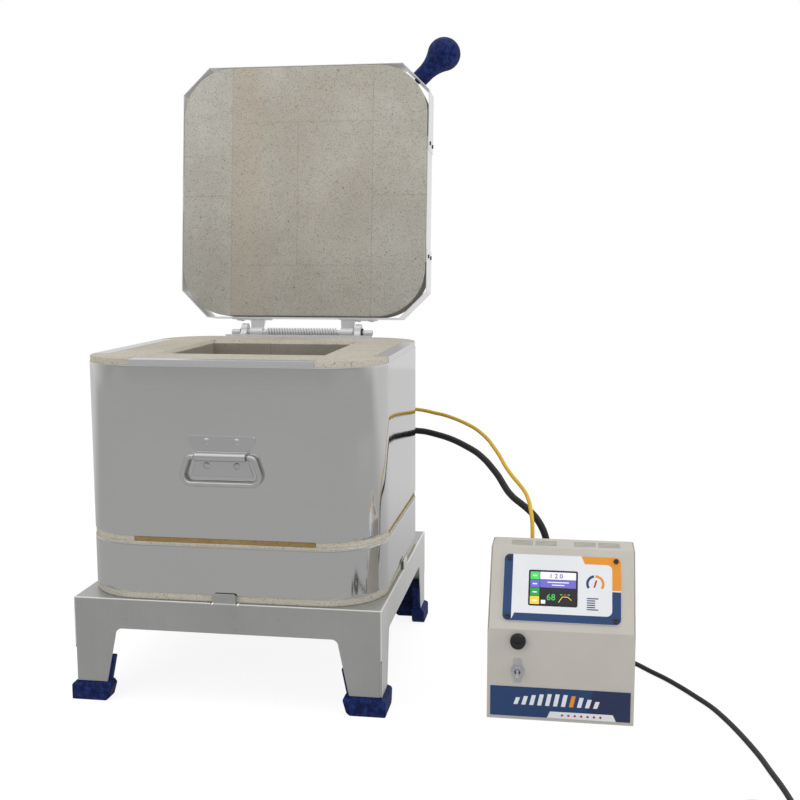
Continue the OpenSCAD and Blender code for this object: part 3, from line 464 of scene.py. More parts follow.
def lid_shade(net, where):
    """The lid's face is a little darker toward its hinge."""
    return (1 - net.part(where, 2).ramp(RIM_Z + 0.04, RIM_Z + 0.36)) * 0.26


def chamber_shade(net, where):
    """Share of painted shade: on the chamber's walls and floor, below the bevel of its mouth."""
    reach = HALF - WALL_T + 0.004
    x, y = net.off_middle(where)
    deep = 1 - net.part(where, 2).ramp(RIM_Z - 0.008, RIM_Z - 0.004)
    return x.under(reach) * y.under(reach) * deep * 0.62


def stainless(name, tone, rough, grain, metal=1.0, lift=0.0):
    """Bright rolled stainless sheet: long faint grain, soft clouds and a little waviness.
    lift is a weak light of its own, for narrow faces that a white studio would brighten."""
    net = material(name)
    streak = net.noise(net.place(stretch=(1, 1, 90)), 14, 4)
    cloud = net.noise(net.place(), 5, 2)
    fine = net.noise(net.place(stretch=(4, 4, 700)), 4, 3)
    colour = net.mix(streak * 0.35 + cloud * 0.25, srgb(*tone), shifted(tone, -16))
    roughness = streak * 0.06 + cloud * 0.05 + rough
    height = fine * grain + cloud * 0.3
    lit = {"Emission_Color": colour, "Emission_Strength": lift} if lift else {}
    return net.surface(Base_Color=colour, Metallic=metal, Roughness=roughness,
                       Normal=net.bump(height, 0.06, 0.0006), **lit)


def satin_sheet(name, tone, rough):
    """Satin rolled sheet steel: fine upright grain, soft cloudy patches and scattered rubs. The
    bends along the top and down the corners carry a painted highlight, a slit that runs down below each
    corner's weld is painted as a dark line of shade, and the right flange is painted brighter as painted
    light."""
    net = material(name)
    grain = net.noise(net.place(stretch=(700, 700, 6)), 1, 3)
    cloud = net.noise(net.place(), 16, 4)
    rub = net.noise(net.place(stretch=(1, 1, 3)), 70, 3)
    colour = net.mix(grain * 0.3 + cloud * 0.55, srgb(*tone), shifted(tone, -26))
    colour = net.mix(rub.ramp(0.6, 0.8) * 0.3, colour, shifted(tone, -40))
    where = net.place()
    x, y = net.off_middle(where)
    z, side = net.part(where, 2), STAND_HALF - 0.0022
    # Painted light: the right flange is painted brighter.
    colour = net.mix(net.part(where, 0).over(KILN[0] + side) * 0.75, colour, srgb(246, 246, 244))
    # Painted shade: a dark line where a slit runs down below each corner's weld.
    slit = x.math("MINIMUM", y).over(STAND_HALF - 0.0016) * z.under(SLIT_TOP)
    colour = net.mix(slit * 0.8, colour, srgb(30, 30, 32))
    # Painted highlight along the top bends and down the corners.
    bend = x.math("MAXIMUM", y).over(side) * z.over(STAND_H - 0.0016) * z.under(STAND_H + 0.0004)
    bend = bend + x.math("MINIMUM", y).over(STAND_HALF - 0.0018) * z.over(SLIT_TOP)
    colour = net.mix(bend.math("MINIMUM", 1.0) * 0.9, colour, srgb(255, 255, 252))
    return net.surface(Base_Color=colour, Metallic=0.8, Roughness=cloud * 0.16 + rough,
                       Normal=net.bump(grain * 0.4 + cloud, 0.1, 0.0004))


def printed_plastic(name, tone, pale):
    """Printed plastic: layer lines every 0.6 mm and a greyish fleck."""
    net = material(name)
    where = net.place()
    fleck = net.noise(where, 330, 4, 0.7)
    cloud = net.noise(where, 110, 3)
    layers = (net.part(where, 2) * (2 * math.pi / 0.0006)).math("SINE")
    colour = net.mix((fleck * 0.6 + cloud * 0.6).ramp(0.5, 0.76), srgb(*tone), srgb(*pale))
    return net.surface(Base_Color=colour, Roughness=fleck * 0.3 + 0.44, Specular_IOR_Level=0.22,
                       Normal=net.bump(fleck + layers * 0.12, 0.45, 0.0005))


def painted(name, tone, rough=0.42):
    """Powder paint: an even colour with fine orange peel and faint handling marks."""
    net = material(name)
    where = net.place()
    peel = net.noise(where, 1100, 2)
    cloud = net.noise(where, 11, 3)
    colour = net.mix(cloud.ramp(0.35, 0.75) * 0.35, srgb(*tone), shifted(tone, -12))
    return net.surface(Base_Color=colour, Roughness=cloud * 0.12 + rough,
                       Normal=net.bump(peel, 0.1, 0.0003))


def plastic(name, tone, rough=0.38, scale=500):
    """Moulded plastic or rubber with a fine spark texture."""
    net = material(name)
    where = net.place()
    grain = net.noise(where, scale, 3)
    cloud = net.noise(where, 30, 2)
    colour = net.mix(grain * 0.4 + cloud * 0.2, srgb(*tone), shifted(tone, 18))
    return net.surface(Base_Color=colour, Roughness=grain * 0.18 + rough,
                       Normal=net.bump(grain, 0.18, 0.0003))


def steel(name, tone, rough, metal=1.0):
    """Plated or plain steel of small parts, with fine scratches."""
    net = material(name)
    scratch = net.noise(net.place(stretch=(60, 900, 60)), 2, 4)
    cloud = net.noise(net.place(), 90, 3)
    colour = net.mix(cloud * 0.5, srgb(*tone), shifted(tone, -30))
    return net.surface(Base_Color=colour, Metallic=metal, Roughness=scratch * 0.16 + cloud * 0.1 + rough,
                       Normal=net.bump(scratch, 0.12, 0.0003))


def glow(name, tone, strength=0.55):
    """A lit patch of the display: faint pixel rows over an even colour."""
    net = material(name)
    rows = (net.part(net.place(), 0) * (2 * math.pi / 0.0007)).math("SINE")
    colour = net.mix(rows * 0.08 + 0.08, srgb(*tone), srgb(*(c // 2 for c in tone)))
    return net.surface(Base_Color=colour, Roughness=0.25, Emission_Color=colour,
                       Emission_Strength=strength)


def board_finish():
    """Green circuit board with a darker track pattern."""
    net = material("board_green")
    cell = net.cells(net.place(), 160)
    colour = net.mix(cell.ramp(0.2, 0.3), srgb(30, 96, 48), srgb(14, 58, 30))
    return net.surface(Base_Color=colour, Roughness=0.4, Normal=net.bump(cell, 0.2, 0.0002))


# The firebrick's last colour is painted shade inside the chamber.
FIREBRICK = brick("firebrick", srgb(194, 189, 179), srgb(178, 172, 158), srgb(150, 128, 96),
                  srgb(124, 114, 98), inside=chamber_shade, shade_tone=srgb(126, 121, 110))
# The lid brick's last colour is painted shade, darker toward the hinge.
LID_BRICK = brick("lid_brick", srgb(186, 184, 176), srgb(170, 167, 158), srgb(172, 158, 134),
                  srgb(108, 101, 90), on_lid_face=True, inside=lid_shade, shade_tone=srgb(100, 98, 94))
STAINLESS = stainless("stainless", (224, 224, 223), 0.01, 0.3)
TRIM_STEEL = stainless("trim_stainless", (230, 230, 232), 0.24, 0.5, 0.85)
HANDLE_STEEL = stainless("handle_stainless", (222, 223, 222), 0.2, 0.6)
BAND_STEEL = stainless("band_stainless", (218, 218, 218), 0.3, 0.6, 0.55, 0.22)
PLATE_STEEL = stainless("plate_stainless", (222, 222, 223), 0.36, 0.6, 0.5)
STAND_STEEL = satin_sheet("stand_sheet", (198, 199, 196), 0.3)
NAVY_PRINT = printed_plastic("navy_print", (0, 10, 66), (24, 48, 104))
SEAM_BOARD = brick("seam_board", srgb(158, 134, 88), srgb(138, 114, 72), srgb(122, 96, 56),
                   srgb(96, 78, 50))
CERAMIC = painted("terminal_ceramic", (225, 218, 200), 0.6)
NYLON = plastic("black_nylon", (20, 20, 22))
HINGE_STEEL = steel("hinge_steel", (228, 229, 230), 0.3, 0.5)
SCREW_STEEL = steel("dark_screws", (88, 88, 92), 0.34)
RIVET_STEEL = steel("rivet_steel", (226, 227, 226), 0.2)
SPRING_STEEL = steel("spring_wire", (226, 227, 228), 0.24, 0.6)
WIRE = steel("element_wire", (112, 100, 88), 0.6)
BOX_PAINT = painted("box_paint", (190, 186, 178))
PANEL_WHITE, PANEL_NAVY, PANEL_DEEP, PANEL_ORANGE, PANEL_RED = (
    painted("panel_" + name, tone, 0.3) for name, tone in (
        ("white", (226, 228, 232)), ("navy", (30, 62, 108)), ("deep_navy", (34, 46, 84)),
        ("orange", (224, 146, 36)), ("red", (176, 26, 36))))
GLASS = plastic("screen_glass", (12, 12, 16), 0.1, 900)
COPPER = steel("copper_core", (176, 104, 60), 0.4)
SWITCH_METAL = steel("switch_metal", (214, 214, 220), 0.2, 0.8)
RUBBER = plastic("cord_black", (16, 16, 18), 0.45, 700)
YELLOW = plastic("cord_yellow", (206, 168, 44), 0.5, 600)
BOARD = board_finish()
TERMINAL_STEEL = steel("terminal_cover_steel", (200, 202, 204), 0.34)


# Camera, lamps and floor

CAMERA_AT = (0.3566, -2.0211, 0.74105)
YAW, PITCH, ROLL = -0.1544, -0.1321, -0.0014
LENS_MM, FILM_MM = 50.23, 36
FLOOR_HALF = 5.0


def put_at(thing, right, up, back, place):
    """Turns a camera or a lamp to these three axes, at a place."""
    matrix = np.eye(4)
    matrix[:3] = np.column_stack((right, up, back, place))
    thing.matrix_world = Matrix(matrix.tolist())


def camera():
    """The photograph's camera: it looks along (sin yaw cos pitch, cos yaw cos pitch, sin pitch)."""
    ahead = np.array((math.sin(YAW) * math.cos(PITCH),
                      math.cos(YAW) * math.cos(PITCH), math.sin(PITCH)))
    right = np.cross(ahead, UP)
    right /= np.linalg.norm(right)
    up = np.cross(right, ahead)
    c, s = math.cos(ROLL), math.sin(ROLL)
    lens = bpy.data.cameras.new("camera")
    lens.lens, lens.sensor_width, lens.sensor_fit = LENS_MM, FILM_MM, "HORIZONTAL"
    view = linked("camera", lens)
    put_at(view, c * right + s * up, c * up - s * right, -ahead, CAMERA_AT)
    bpy.context.scene.camera = view


def world():
    """White for the camera. Everything else sees a soft studio: grey in front, pale at the
    sides and white behind and above, by the direction's own Y and Z. Polished sheet mirrors a
    plainer one, which turns slowly from grey in front to pale behind."""
    sky = bpy.data.worlds.new("studio")
    bpy.context.scene.world = sky
    net = Net(sky)
    way = net.add("TexCoord", output="Generated")
    x, y, z = (net.part(way, axis) for axis in range(3))
    front = (0 - y).ramp(0.25, 0.98)
    tone = net.mix(front, grey(240), grey(162))
    tone = net.mix(z.ramp(0.2, 0.9) * 0.9, tone, grey(250))
    tone = net.mix((0 - x).ramp(0.5, 0.95) * 0.4, tone, grey(204))
    seen, mirror = net.rays()
    reflected = net.mix((0 - y).ramp(-0.6, 0.5), grey(222), grey(166))
    reflected = net.mix(z.ramp(0.3, 0.9), reflected, grey(250))
    shade = net.mix(mirror, net.mix(0.5, tone, grey(206)), reflected)
    shade = net.mix(seen, shade, (1, 1, 1, 1))
    light = net.add("Background", {}, {"Color": shade, "Strength": 1.0})
    net.add("OutputWorld", {}, {"Surface": light})


def lamp(name, place, aim, size, power):
    """A square soft lamp that mirrors don't see."""
    light = bpy.data.lights.new(name, "AREA")
    light.shape, light.size, light.energy = "SQUARE", size, power
    away = np.subtract(place, aim)
    away /= np.linalg.norm(away)
    side = np.cross(UP, away)
    side /= np.linalg.norm(side)
    soft_box = linked(name, light)
    put_at(soft_box, side, np.cross(away, side), away, place)
    soft_box.visible_glossy = False


def floor():
    """A pale floor: mostly its own white for the camera, so it meets the background, and a plain
    pale surface that takes the object's shadow. Polished sheet mirrors it as an even grey that
    grows paler behind the kiln."""
    mesh = bpy.data.meshes.new("floor")
    corner = FLOOR_HALF * np.array(((-1, -1, 0), (1, -1, 0), (1, 1, 0), (-1, 1, 0)))
    mesh.from_pydata(corner.tolist(), [], [(0, 1, 2, 3)])
    net = material("floor_white")
    speck = net.noise(net.place(), 3, 2)
    colour = net.mix(speck * 0.2, grey(232), grey(226))
    matt = net.add("BsdfDiffuse", {}, {"Color": colour})
    seen, mirror = net.rays()
    own = net.add("Emission", {}, {"Color": (1, 1, 1, 1), "Strength": 1.13})
    far = net.part(net.place(), 1).ramp(0.0, 1.7)
    dull = net.add("Emission", {}, {"Color": net.mix(far, grey(175), grey(211)), "Strength": 1.0})
    mixed = net.add("MixShader", {}, {0: seen * 0.78, 1: matt, 2: own})
    mixed = net.add("MixShader", {}, {0: mirror * 0.96, 1: mixed, 2: dull})
    net.add("OutputMaterial", {}, {"Surface": mixed})
    mesh.materials.append(net.owner)
    linked("floor", mesh)


bpy.context.scene.view_settings.view_transform = "Standard"
camera()
world()
floor()
lamp("overhead", (-0.3, -0.6, 3.0), (0, 0, 0.3), 2.4, 27)
lamp("front_left", (-1.7, -2.4, 1.2), (-0.1, -0.1, 0.4), 1.6, 14)
lamp("right", (2.6, -0.5, 0.8), (0, 0, 0.3), 1.4, 24)


# Cords: the routes are points about the kiln's middle, in millimetres

SENSOR_D, POWER_D, MAINS_D = 0.0072, 0.0125, 0.0085
SENSOR_ROUTE = [
    (211, 282, 424), (225, 282, 424), (240, 281, 423), (258, 278, 421), (280, 268, 418),
    (302, 252, 416), (325, 232, 412), (348, 208, 407), (370, 184, 400), (393, 152, 388),
    (407, 130, 376), (420, 108, 363), (432, 84, 349), (446, 60, 336), (460, 36, 326), (472, 14, 316),
    (480, -8, 304), (484, -25, 291), (487, -38, 274), (488, -45, 254), (488, -47, 236), (488, -47, 219),
    (488, -49.2, 207.9), (488, -55.5, 198.5), (488, -64.9, 192.2), (488, -76, 190), (488, -81, 190)]
POWER_ROUTE = [
    (211, 282, 380), (225, 282, 380), (240, 281, 379), (258, 278, 378), (280, 268, 375),
    (303, 252, 372), (325, 232, 368), (348, 208, 362), (370, 184, 355), (389, 156, 346),
    (402, 136, 337), (417, 112, 325), (429, 88, 313), (439, 68, 304), (451, 48, 297), (464, 29, 292),
    (477, 12, 286), (489, -2, 278), (499, -12, 267), (507, -19, 253), (512, -22.5, 237),
    (514.5, -24, 220), (515, -24, 202), (515, -26.5, 185.9), (515, -33.9, 171.4), (515, -45.4, 159.9),
    (515, -59.9, 152.5), (515, -76, 150), (515, -81, 150)]
MAINS_ROUTE = [
    (610, -81, 45), (610, -73, 45), (610, -60, 43.8), (610, -46, 40), (610, -30, 33), (610, -12, 23),
    (611, 6, 14), (616, 24, 8), (629, 37, 5), (646, 41, 4.3), (662, 37, 4.3), (675, 26, 4.3),
    (686, 11, 4.3), (698, -6, 4.3), (722, -38, 4.3), (745, -75, 4.3), (766, -113, 4.3),
    (785, -150, 4.3), (800, -191, 4.3), (813, -235, 4.3), (825, -283, 4.3), (835, -330, 4.3),
    (842, -374, 4.3), (849, -415, 4.3), (854, -455, 4.3), (857, -490, 4.3), (857.3, -516, 4.3)]
MAINS_TAIL = [(806, -591.3, 12.9), (790, -591.5, 12.8), (776, -592.4, 11.4), (762, -593.2, 10.8),
              (748, -594, 12.4), (734, -594, 13)]
COIL_AT, COIL_MID, COIL_TURNS = (806, -540), 47, 3.25


def coil_turns():
    """The wound mains lead, clockwise from the east side. Each turn is a circle whose radius and
    height change by smooth steps of one cord: inwards, then up a layer, then outwards."""
    spacing, off_floor = 1.02, 0.05
    step = spacing * MAINS_D / MM
    turns = np.arange(0, COIL_TURNS * 360 + 1, 7.5)

    def gone(start):
        """0 before a turn's angle, 1 a quarter turn after it and smooth between."""
        share = np.clip((turns - start) / 90, 0, 1)
        return share * share * (3 - 2 * share)
    radius = COIL_MID + step / 2 - step * gone(270) + step * gone(810)
    height = MAINS_D / MM / 2 + off_floor + step * gone(540)
    a = np.radians(-turns)
    return np.stack((COIL_AT[0] + radius * np.cos(a), COIL_AT[1] + radius * np.sin(a), height), 1)


def cords():
    """The sensor cord, the power cord and the mains lead with its coil."""
    sensor, power = (smooth_path(np.array(route) * MM + KILN) for route in (SENSOR_ROUTE, POWER_ROUTE))
    mains = (smooth_path(MAINS_ROUTE), coil_turns(), smooth_path(MAINS_TAIL, 6)[1:])
    mains = np.vstack(mains) * MM + KILN
    for name, path, diameter, finish, slot, nodes, far_end, lay, ends in (
            ("sensor_lead", sensor, SENSOR_D, YELLOW, "cord_yellow", ["sensor_cord"], "object",
             "hanging", ["kiln_sensor_gland_dressed", "box_sensor_gland_dressed"]),
            ("power_lead", power, POWER_D, RUBBER, "cord_black", ["kiln_power_cord"], "object",
             "hanging", ["kiln_power_gland_dressed", "box_power_gland_dressed"]),
            ("mains_lead", mains, MAINS_D, RUBBER, "cord_black", ["mains_cord", "mains_coil"], "plug",
             "coiled", ["mains_plug_dressed", "mains_gland_dressed"])):
        lead = rebuilt(name, *tube(path, diameter / 2), finish, "kiln", slot, *nodes)


# Stand, feet and brickwork

def rounded_ring(profile, half, radius, arc_steps=24, flat_steps=6):
    """Rings of points: a profile of (inset, height) carried round a square with round corners.
    At inset d the outline is each corner's centre + (radius - d) times its normal."""
    quarter = np.linspace(0, 90, arc_steps + 1)
    share = np.linspace(0, 1, flat_steps + 1)[1:-1, None]
    places = np.array(((1, 1), (-1, 1), (-1, -1), (1, -1), (1, 1))) * (half - radius)
    angles, centres = [], []
    for turn, (at, after) in enumerate(zip(places, places[1:])):
        angles += [quarter + 90 * turn, np.full(flat_steps - 1, 90.0 * (turn + 1))]
        centres += [np.repeat(at[None], arc_steps + 1, 0), at * (1 - share) + after * share]
    a = np.radians(np.concatenate(angles))[None]
    centre = np.vstack(centres)[None]
    inset, height = np.asarray(profile, float).T[:, :, None]
    reach = radius - inset
    return np.stack((centre[..., 0] + reach * np.cos(a), centre[..., 1] + reach * np.sin(a),
                     height + 0 * a), -1)


def jacket(node):
    """A bright sheet wrapped round the brick, its two edges slightly rounded."""
    low, high = corners(node)
    z0, z1, t, r = low[2], high[2], SHEET_T, 0.0004
    margin = 0.004
    outer = [(0, z) for z in np.linspace(z0 + margin, z1 - margin, 9)]
    profile = [(r, z0), (0, z0 + r), *outer, (0, z1 - r), (r, z1), (t - r, z1), (t, z1 - r),
               (t, z0 + r), (t - r, z0)]
    points = rounded_ring(profile, HALF, CORNER_R)
    faces = grid_faces(*points.shape[:2], closed=True)
    rebuilt(node + "_sheet", points.reshape(-1, 3) + KILN, faces, STAINLESS, "kiln", "stainless", node)


def body_pieces():
    """The stand and its feet, the brickwork, the two jackets, the rim and the seam."""
    dress_all((
        ("stand", STAND_STEEL, "stand_sheet", 0.0007, 2),
        ("foot_front_left foot_front_right foot_back_left foot_back_right", NAVY_PRINT, "navy_print",
         0.0022, 3),
        ("floor_slab", FIREBRICK, "firebrick", 0.0012, 2),
        ("chamber_bricks_low chamber_bricks_middle chamber_bricks_top", FIREBRICK, "firebrick", 0.0, 1)))
    jacket("floor_jacket")
    jacket("chamber_jacket")
    dress_all((("rim_trims", TRIM_STEEL, "stainless", 0.0003, 2),
               ("seam_strips", SEAM_BOARD, "seam_board", 0.0005, 2)))


# Heating elements: a wire coiled along each groove of the chamber wall

def heating_coils():
    """Each groove's coil: the point at s along a round-cornered square, plus a circle of radius
    r in the plane of the outward normal and Z, one turn for each pitch of s. Two straight tails
    from each coil go out through the back."""
    wire_r, coil_r, pitch, per_turn = 0.0010, 0.0044, 0.0056, 12
    tail_r, tail_places, drop = 0.0028, (0.055, 0.095), 0.0037
    run, bend = HALF - WALL_T + 0.006, 0.009
    z_levels = [SEAM_Z + c * COURSE_H + groove - drop for c in (0, 1) for groove in (0.035, 0.080)]
    straight = 2 * (run - bend)
    arc = bend * math.pi / 2
    lap = 4 * (straight + arc)
    turns = int(lap / pitch)
    s = np.linspace(0, lap, turns * per_turn, endpoint=False)
    side = (s // (straight + arc)).astype(int)
    along = s - side * (straight + arc)
    bending = np.clip((along - straight) / arc, 0, 1)

    def outwards(angle):
        """(cos a, sin a, 0)."""
        return np.stack((np.cos(angle), np.sin(angle), 0 * s), 1)
    normal, base_normal = outwards(np.radians(90) * (side + bending)), outwards(np.radians(90) * side)
    direction = np.cross(UP, base_normal)
    travel = np.clip(along, 0, straight) - straight / 2
    centre = base_normal * (run - bend) + direction * travel[:, None] + normal * bend
    phase = 2 * math.pi * turns * s / lap
    helix = centre + coil_r * (np.cos(phase)[:, None] * normal + np.sin(phase)[:, None] * UP)
    parts = [tube(helix + (0, 0, z), wire_r, 5) for z in z_levels]
    back = corners("heating_elements")[1][1] - KILN[1]
    for z in z_levels:
        for x in tail_places:
            parts.append(tube(np.linspace((x, run, z), (x, back, z), 6), tail_r, 8))
    points, faces = join(parts)
    rebuilt("heating_coils", points + KILN, faces, WIRE, "kiln", "element_wire", "heating_elements")


# Hinge, handle, lid and knob

def counter_spring():
    """Round wire about the rod: (pitch * a / 2 pi, r sin a, -r cos a), with a straight tail at each
    end, one to the hinge plate and one to the lid's right arm."""
    wire_d, turns, rod_d, arm_face = 0.0034, 26, 0.0113, 0.0815
    length = 2 * arm_face - 0.012
    r = (rod_d + wire_d) / 2 + 0.0005
    a = np.linspace(0, 2 * math.pi * turns, turns * 36 + 1)
    x = -(length - wire_d) / 2 + (length - wire_d) * a / a[-1]
    coil = np.stack((x, r * np.sin(a), -r * np.cos(a)), 1)
    first = np.array(((coil[0, 0], -0.0297, -r), (coil[0, 0], -0.012, -r)))
    last = np.array(((length / 2 + 0.0006, 0.0014, -r), (arm_face - 0.0003, 0.0016, -r)))
    points, faces = tube(np.vstack((first, coil, last)), wire_d / 2, 12)
    place = KILN + (0, HINGE_Y, HINGE_Z)
    rebuilt("counter_spring", points + place, faces, SPRING_STEEL, "kiln", "spring_wire", "hinge_spring")


def rounded_corners(bends, radii, steps=8):
    """A path through corners, each replaced by an arc of its radius."""
    p = np.asarray(bends, float)
    path = [p[0]]
    for before, at, after, r in zip(p[:-2], p[1:-1], p[2:], radii):
        u, v = before - at, after - at
        u, v = u / np.linalg.norm(u), v / np.linalg.norm(v)
        half = math.acos(float(u @ v)) / 2
        middle = at + (u + v) / np.linalg.norm(u + v) * r / math.sin(half)
        start, end = at + u * r / math.tan(half), at + v * r / math.tan(half)
        share = np.linspace(0, 1, steps + 1)[:, None]
        spoke = (1 - share) * (start - middle) + share * (end - middle)
        path += list(middle + r * spoke / np.linalg.norm(spoke, axis=1)[:, None])
    return np.array(path + [p[-1]])


def bail():
    """The swinging grip: one round rod bent at four corners, with its pin through the barrel."""
    low, high = corners("handle_bail")
    rod_r, pin_r = 0.0045, 0.004
    y = (low[1] + high[1]) / 2
    top_z, foot_z = high[2] - rod_r, low[2] + rod_r
    x1, x0, stub = 0.069, 0.0545, 0.0426
    middle = (low[0] + high[0]) / 2
    path = rounded_corners([(-stub, 0, top_z), (-x0, 0, top_z), (-x1, 0, foot_z), (x1, 0, foot_z),
                            (x0, 0, top_z), (stub, 0, top_z)], (0.009, 0.014, 0.014, 0.009))
    pin = np.linspace((-stub - 0.002, 0, top_z), (stub + 0.002, 0, top_z), 4)
    points, faces = join((tube(path, rod_r, 20), tube(pin, pin_r, 20)))
    rebuilt("bail_grip", points + (middle, y, 0), faces, RIVET_STEEL, "bail", "stainless", "handle_bail")


def knob():
    """The lid's knob: a straight foot, a hollow flare and a ball, all arcs that meet smoothly. It
    stands out from the middle of the lid band's front right corner."""
    foot_r, ball_r, length, foot_l = 0.0175, 0.0335, 0.106, 0.018
    band_out, band_corner = 0.0034, 0.055
    ball_z = length - ball_r
    flare = ((ball_z - foot_l) ** 2 - ball_r ** 2 + foot_r ** 2) / (2 * (ball_r - foot_r))
    centre = np.array((foot_r + flare, foot_l))
    to_ball = np.array((0, ball_z)) - centre
    meet = math.atan2(to_ball[1], to_ball[0])
    sweep = np.linspace(math.pi, meet, 20)
    neck = centre + flare * np.stack((np.cos(sweep), np.sin(sweep)), 1)
    start = math.atan2(neck[-1, 1] - ball_z, neck[-1, 0])
    round_top = np.linspace(start, math.pi / 2 - 0.02, 30)[1:]
    ball = np.stack((ball_r * np.cos(round_top), ball_z + ball_r * np.sin(round_top)), 1)
    edge = [(foot_r - 0.001, 0.0001), (foot_r - 0.0003, 0.0004), (foot_r, 0.0011)]
    points, faces = revolve(np.vstack((edge, neck, ball)), 72)
    c = math.sqrt(0.5)
    z_to_x = np.array(((0, 0, -1), (0, 1, 0), (1, 0, 0)))
    x_to_corner = np.array(((c, -c, 0), (c, c, 0), (0, 0, 1)))
    points = points @ z_to_x @ x_to_corner
    corner = HALF + band_out - band_corner / 2
    points = points + (corner, -corner, RIM_Z + LID_GAP + LID_T / 2)
    rebuilt("knob_grip", on_lid(points), faces, NAVY_PRINT, "lid", "navy_print", "lid_knob")


def lid_brickwork():
    """The slab of cemented bricks: a rounded square whose edges are quarter circles of radius r,
    drawn in all round by a little play."""
    low_z, high_z, r, play = RIM_Z + LID_GAP, RIM_Z + LID_GAP + LID_T, 0.0018, 0.0004
    t = np.radians(np.linspace(0, 90, 5))
    foot = np.stack((play + r * (1 - np.sin(t)), low_z + r * (1 - np.cos(t))), 1)
    head = np.stack((play + r * (1 - np.cos(t)), high_z - r * (1 - np.sin(t))), 1)
    points = rounded_ring(np.vstack((foot, head)), HALF, CORNER_R)
    slab = rebuilt("lid_brickwork", on_lid(points.reshape(-1, 3)), grid_faces(*points.shape[:2]),
                   LID_BRICK, "lid", "lid_brick", "lid_slab")
    slab.modifiers.new("flat_faces", "WEIGHTED_NORMAL").keep_sharp = True


def lid_and_hinge():
    """The lid with its band and knob, the hinge and its spring, and the handle."""
    lid_brickwork()
    dress_all((
        ("lid_band_front lid_band_back lid_band_link", BAND_STEEL, "stainless", 0.0004, 2),
        ("lid_hinge_left lid_hinge_right", HINGE_STEEL, "hinge_steel", 0.0008, 2),
        ("lid_band_screws hinge_screws terminal_screws knob_bolt", SCREW_STEEL, "dark_screws", 0.0003, 2),
        ("hinge_base", PLATE_STEEL, "hinge_steel", 0.0, 1),
        ("hinge_rod", HINGE_STEEL, "hinge_steel", 0.0003, 2),
        ("hinge_clips", SCREW_STEEL, "dark_screws", 0.0003, 2),
        ("handle_plate", HANDLE_STEEL, "stainless", 0.0006, 2),
        ("handle_rivets", RIVET_STEEL, "stainless", 0.0002, 1)))
    counter_spring()
    bail()
    knob()


# Back of the kiln and the glands

def back_pieces():
    """The terminals, the thermocouple and all the cord glands."""
    dress_all((
        ("terminal_cover", TERMINAL_STEEL, "stainless", 0.0004, 2),
        ("terminal_block thermocouple", CERAMIC, "terminal_ceramic", 0.0006, 2),
        ("kiln_power_gland kiln_sensor_gland box_power_gland box_sensor_gland mains_gland", NYLON,
         "black_nylon", 0.0005, 2)))


# Control box

SLOPE_AT = np.array((0.0, 0.0, 0.149))
SLOPE_A = math.atan2(114, 74)
PANEL_S, PANEL_T = 0.0685, 0.0025
SCREEN_X, SCREEN_W, SCREEN_H = -0.014, 0.078, 0.059


def on_slope(points):
    """Points (x, distance up the slope, height off it) of the control box's sloping face."""
    return turn_about_x(points, SLOPE_A) + SLOPE_AT + BOX


def on_front(points):
    """Points (x, height, distance off it) of the control box's upright front."""
    return np.stack((points[:, 0], -points[:, 2], points[:, 1]), 1) + BOX


def arc_points(x, y, r, start, end, steps=8):
    """Points of an arc about (x, y) between two angles in degrees."""
    a = np.radians(np.linspace(start, end, steps + 1))
    return np.stack((x + r * np.cos(a), y + r * np.sin(a)), 1)


def round_rect(x0, y0, x1, y1, r):
    """Outline of a rectangle with round corners, anticlockwise."""
    return np.vstack((arc_points(x1 - r, y0 + r, r, -90, 0), arc_points(x1 - r, y1 - r, r, 0, 90),
                      arc_points(x0 + r, y1 - r, r, 90, 180), arc_points(x0 + r, y0 + r, r, 180, 270)))


def slanted(x, y, w, h, lean):
    """A bar of width w and height h whose top leans to the right by lean."""
    return np.array(((x, y), (x + w, y), (x + w + lean, y + h), (x + lean, y + h)))


def ring_part(x, y, inner, outer, start, end, steps=20):
    """Outline of a stretch of a flat ring."""
    return np.vstack((arc_points(x, y, outer, start, end, steps),
                      arc_points(x, y, inner, end, start, steps)))


def inlay(name, placed, shapes, finishes, slot, base):
    """Flat shapes as thin prisms. Each shape is an outline, a layer and the number of its finish,
    and stands off base by its layer."""
    skin, step = 0.0001, 0.00012
    parts, paint = [], []
    for outline, layer, number in shapes:
        n = len(outline)
        top = base + skin + step * layer
        points = np.vstack((np.column_stack((outline, np.full(n, base - skin))),
                            np.column_stack((outline, np.full(n, top)))))
        sides = [(i, (i + 1) % n, n + (i + 1) % n, n + i) for i in range(n)]
        parts.append((placed(points), [range(n)[::-1], range(n, 2 * n), *sides]))
        paint += [number] * (n + 2)
    new_piece(name, *join(parts), finishes, "kiln", slot, smooth=False, paint=paint)


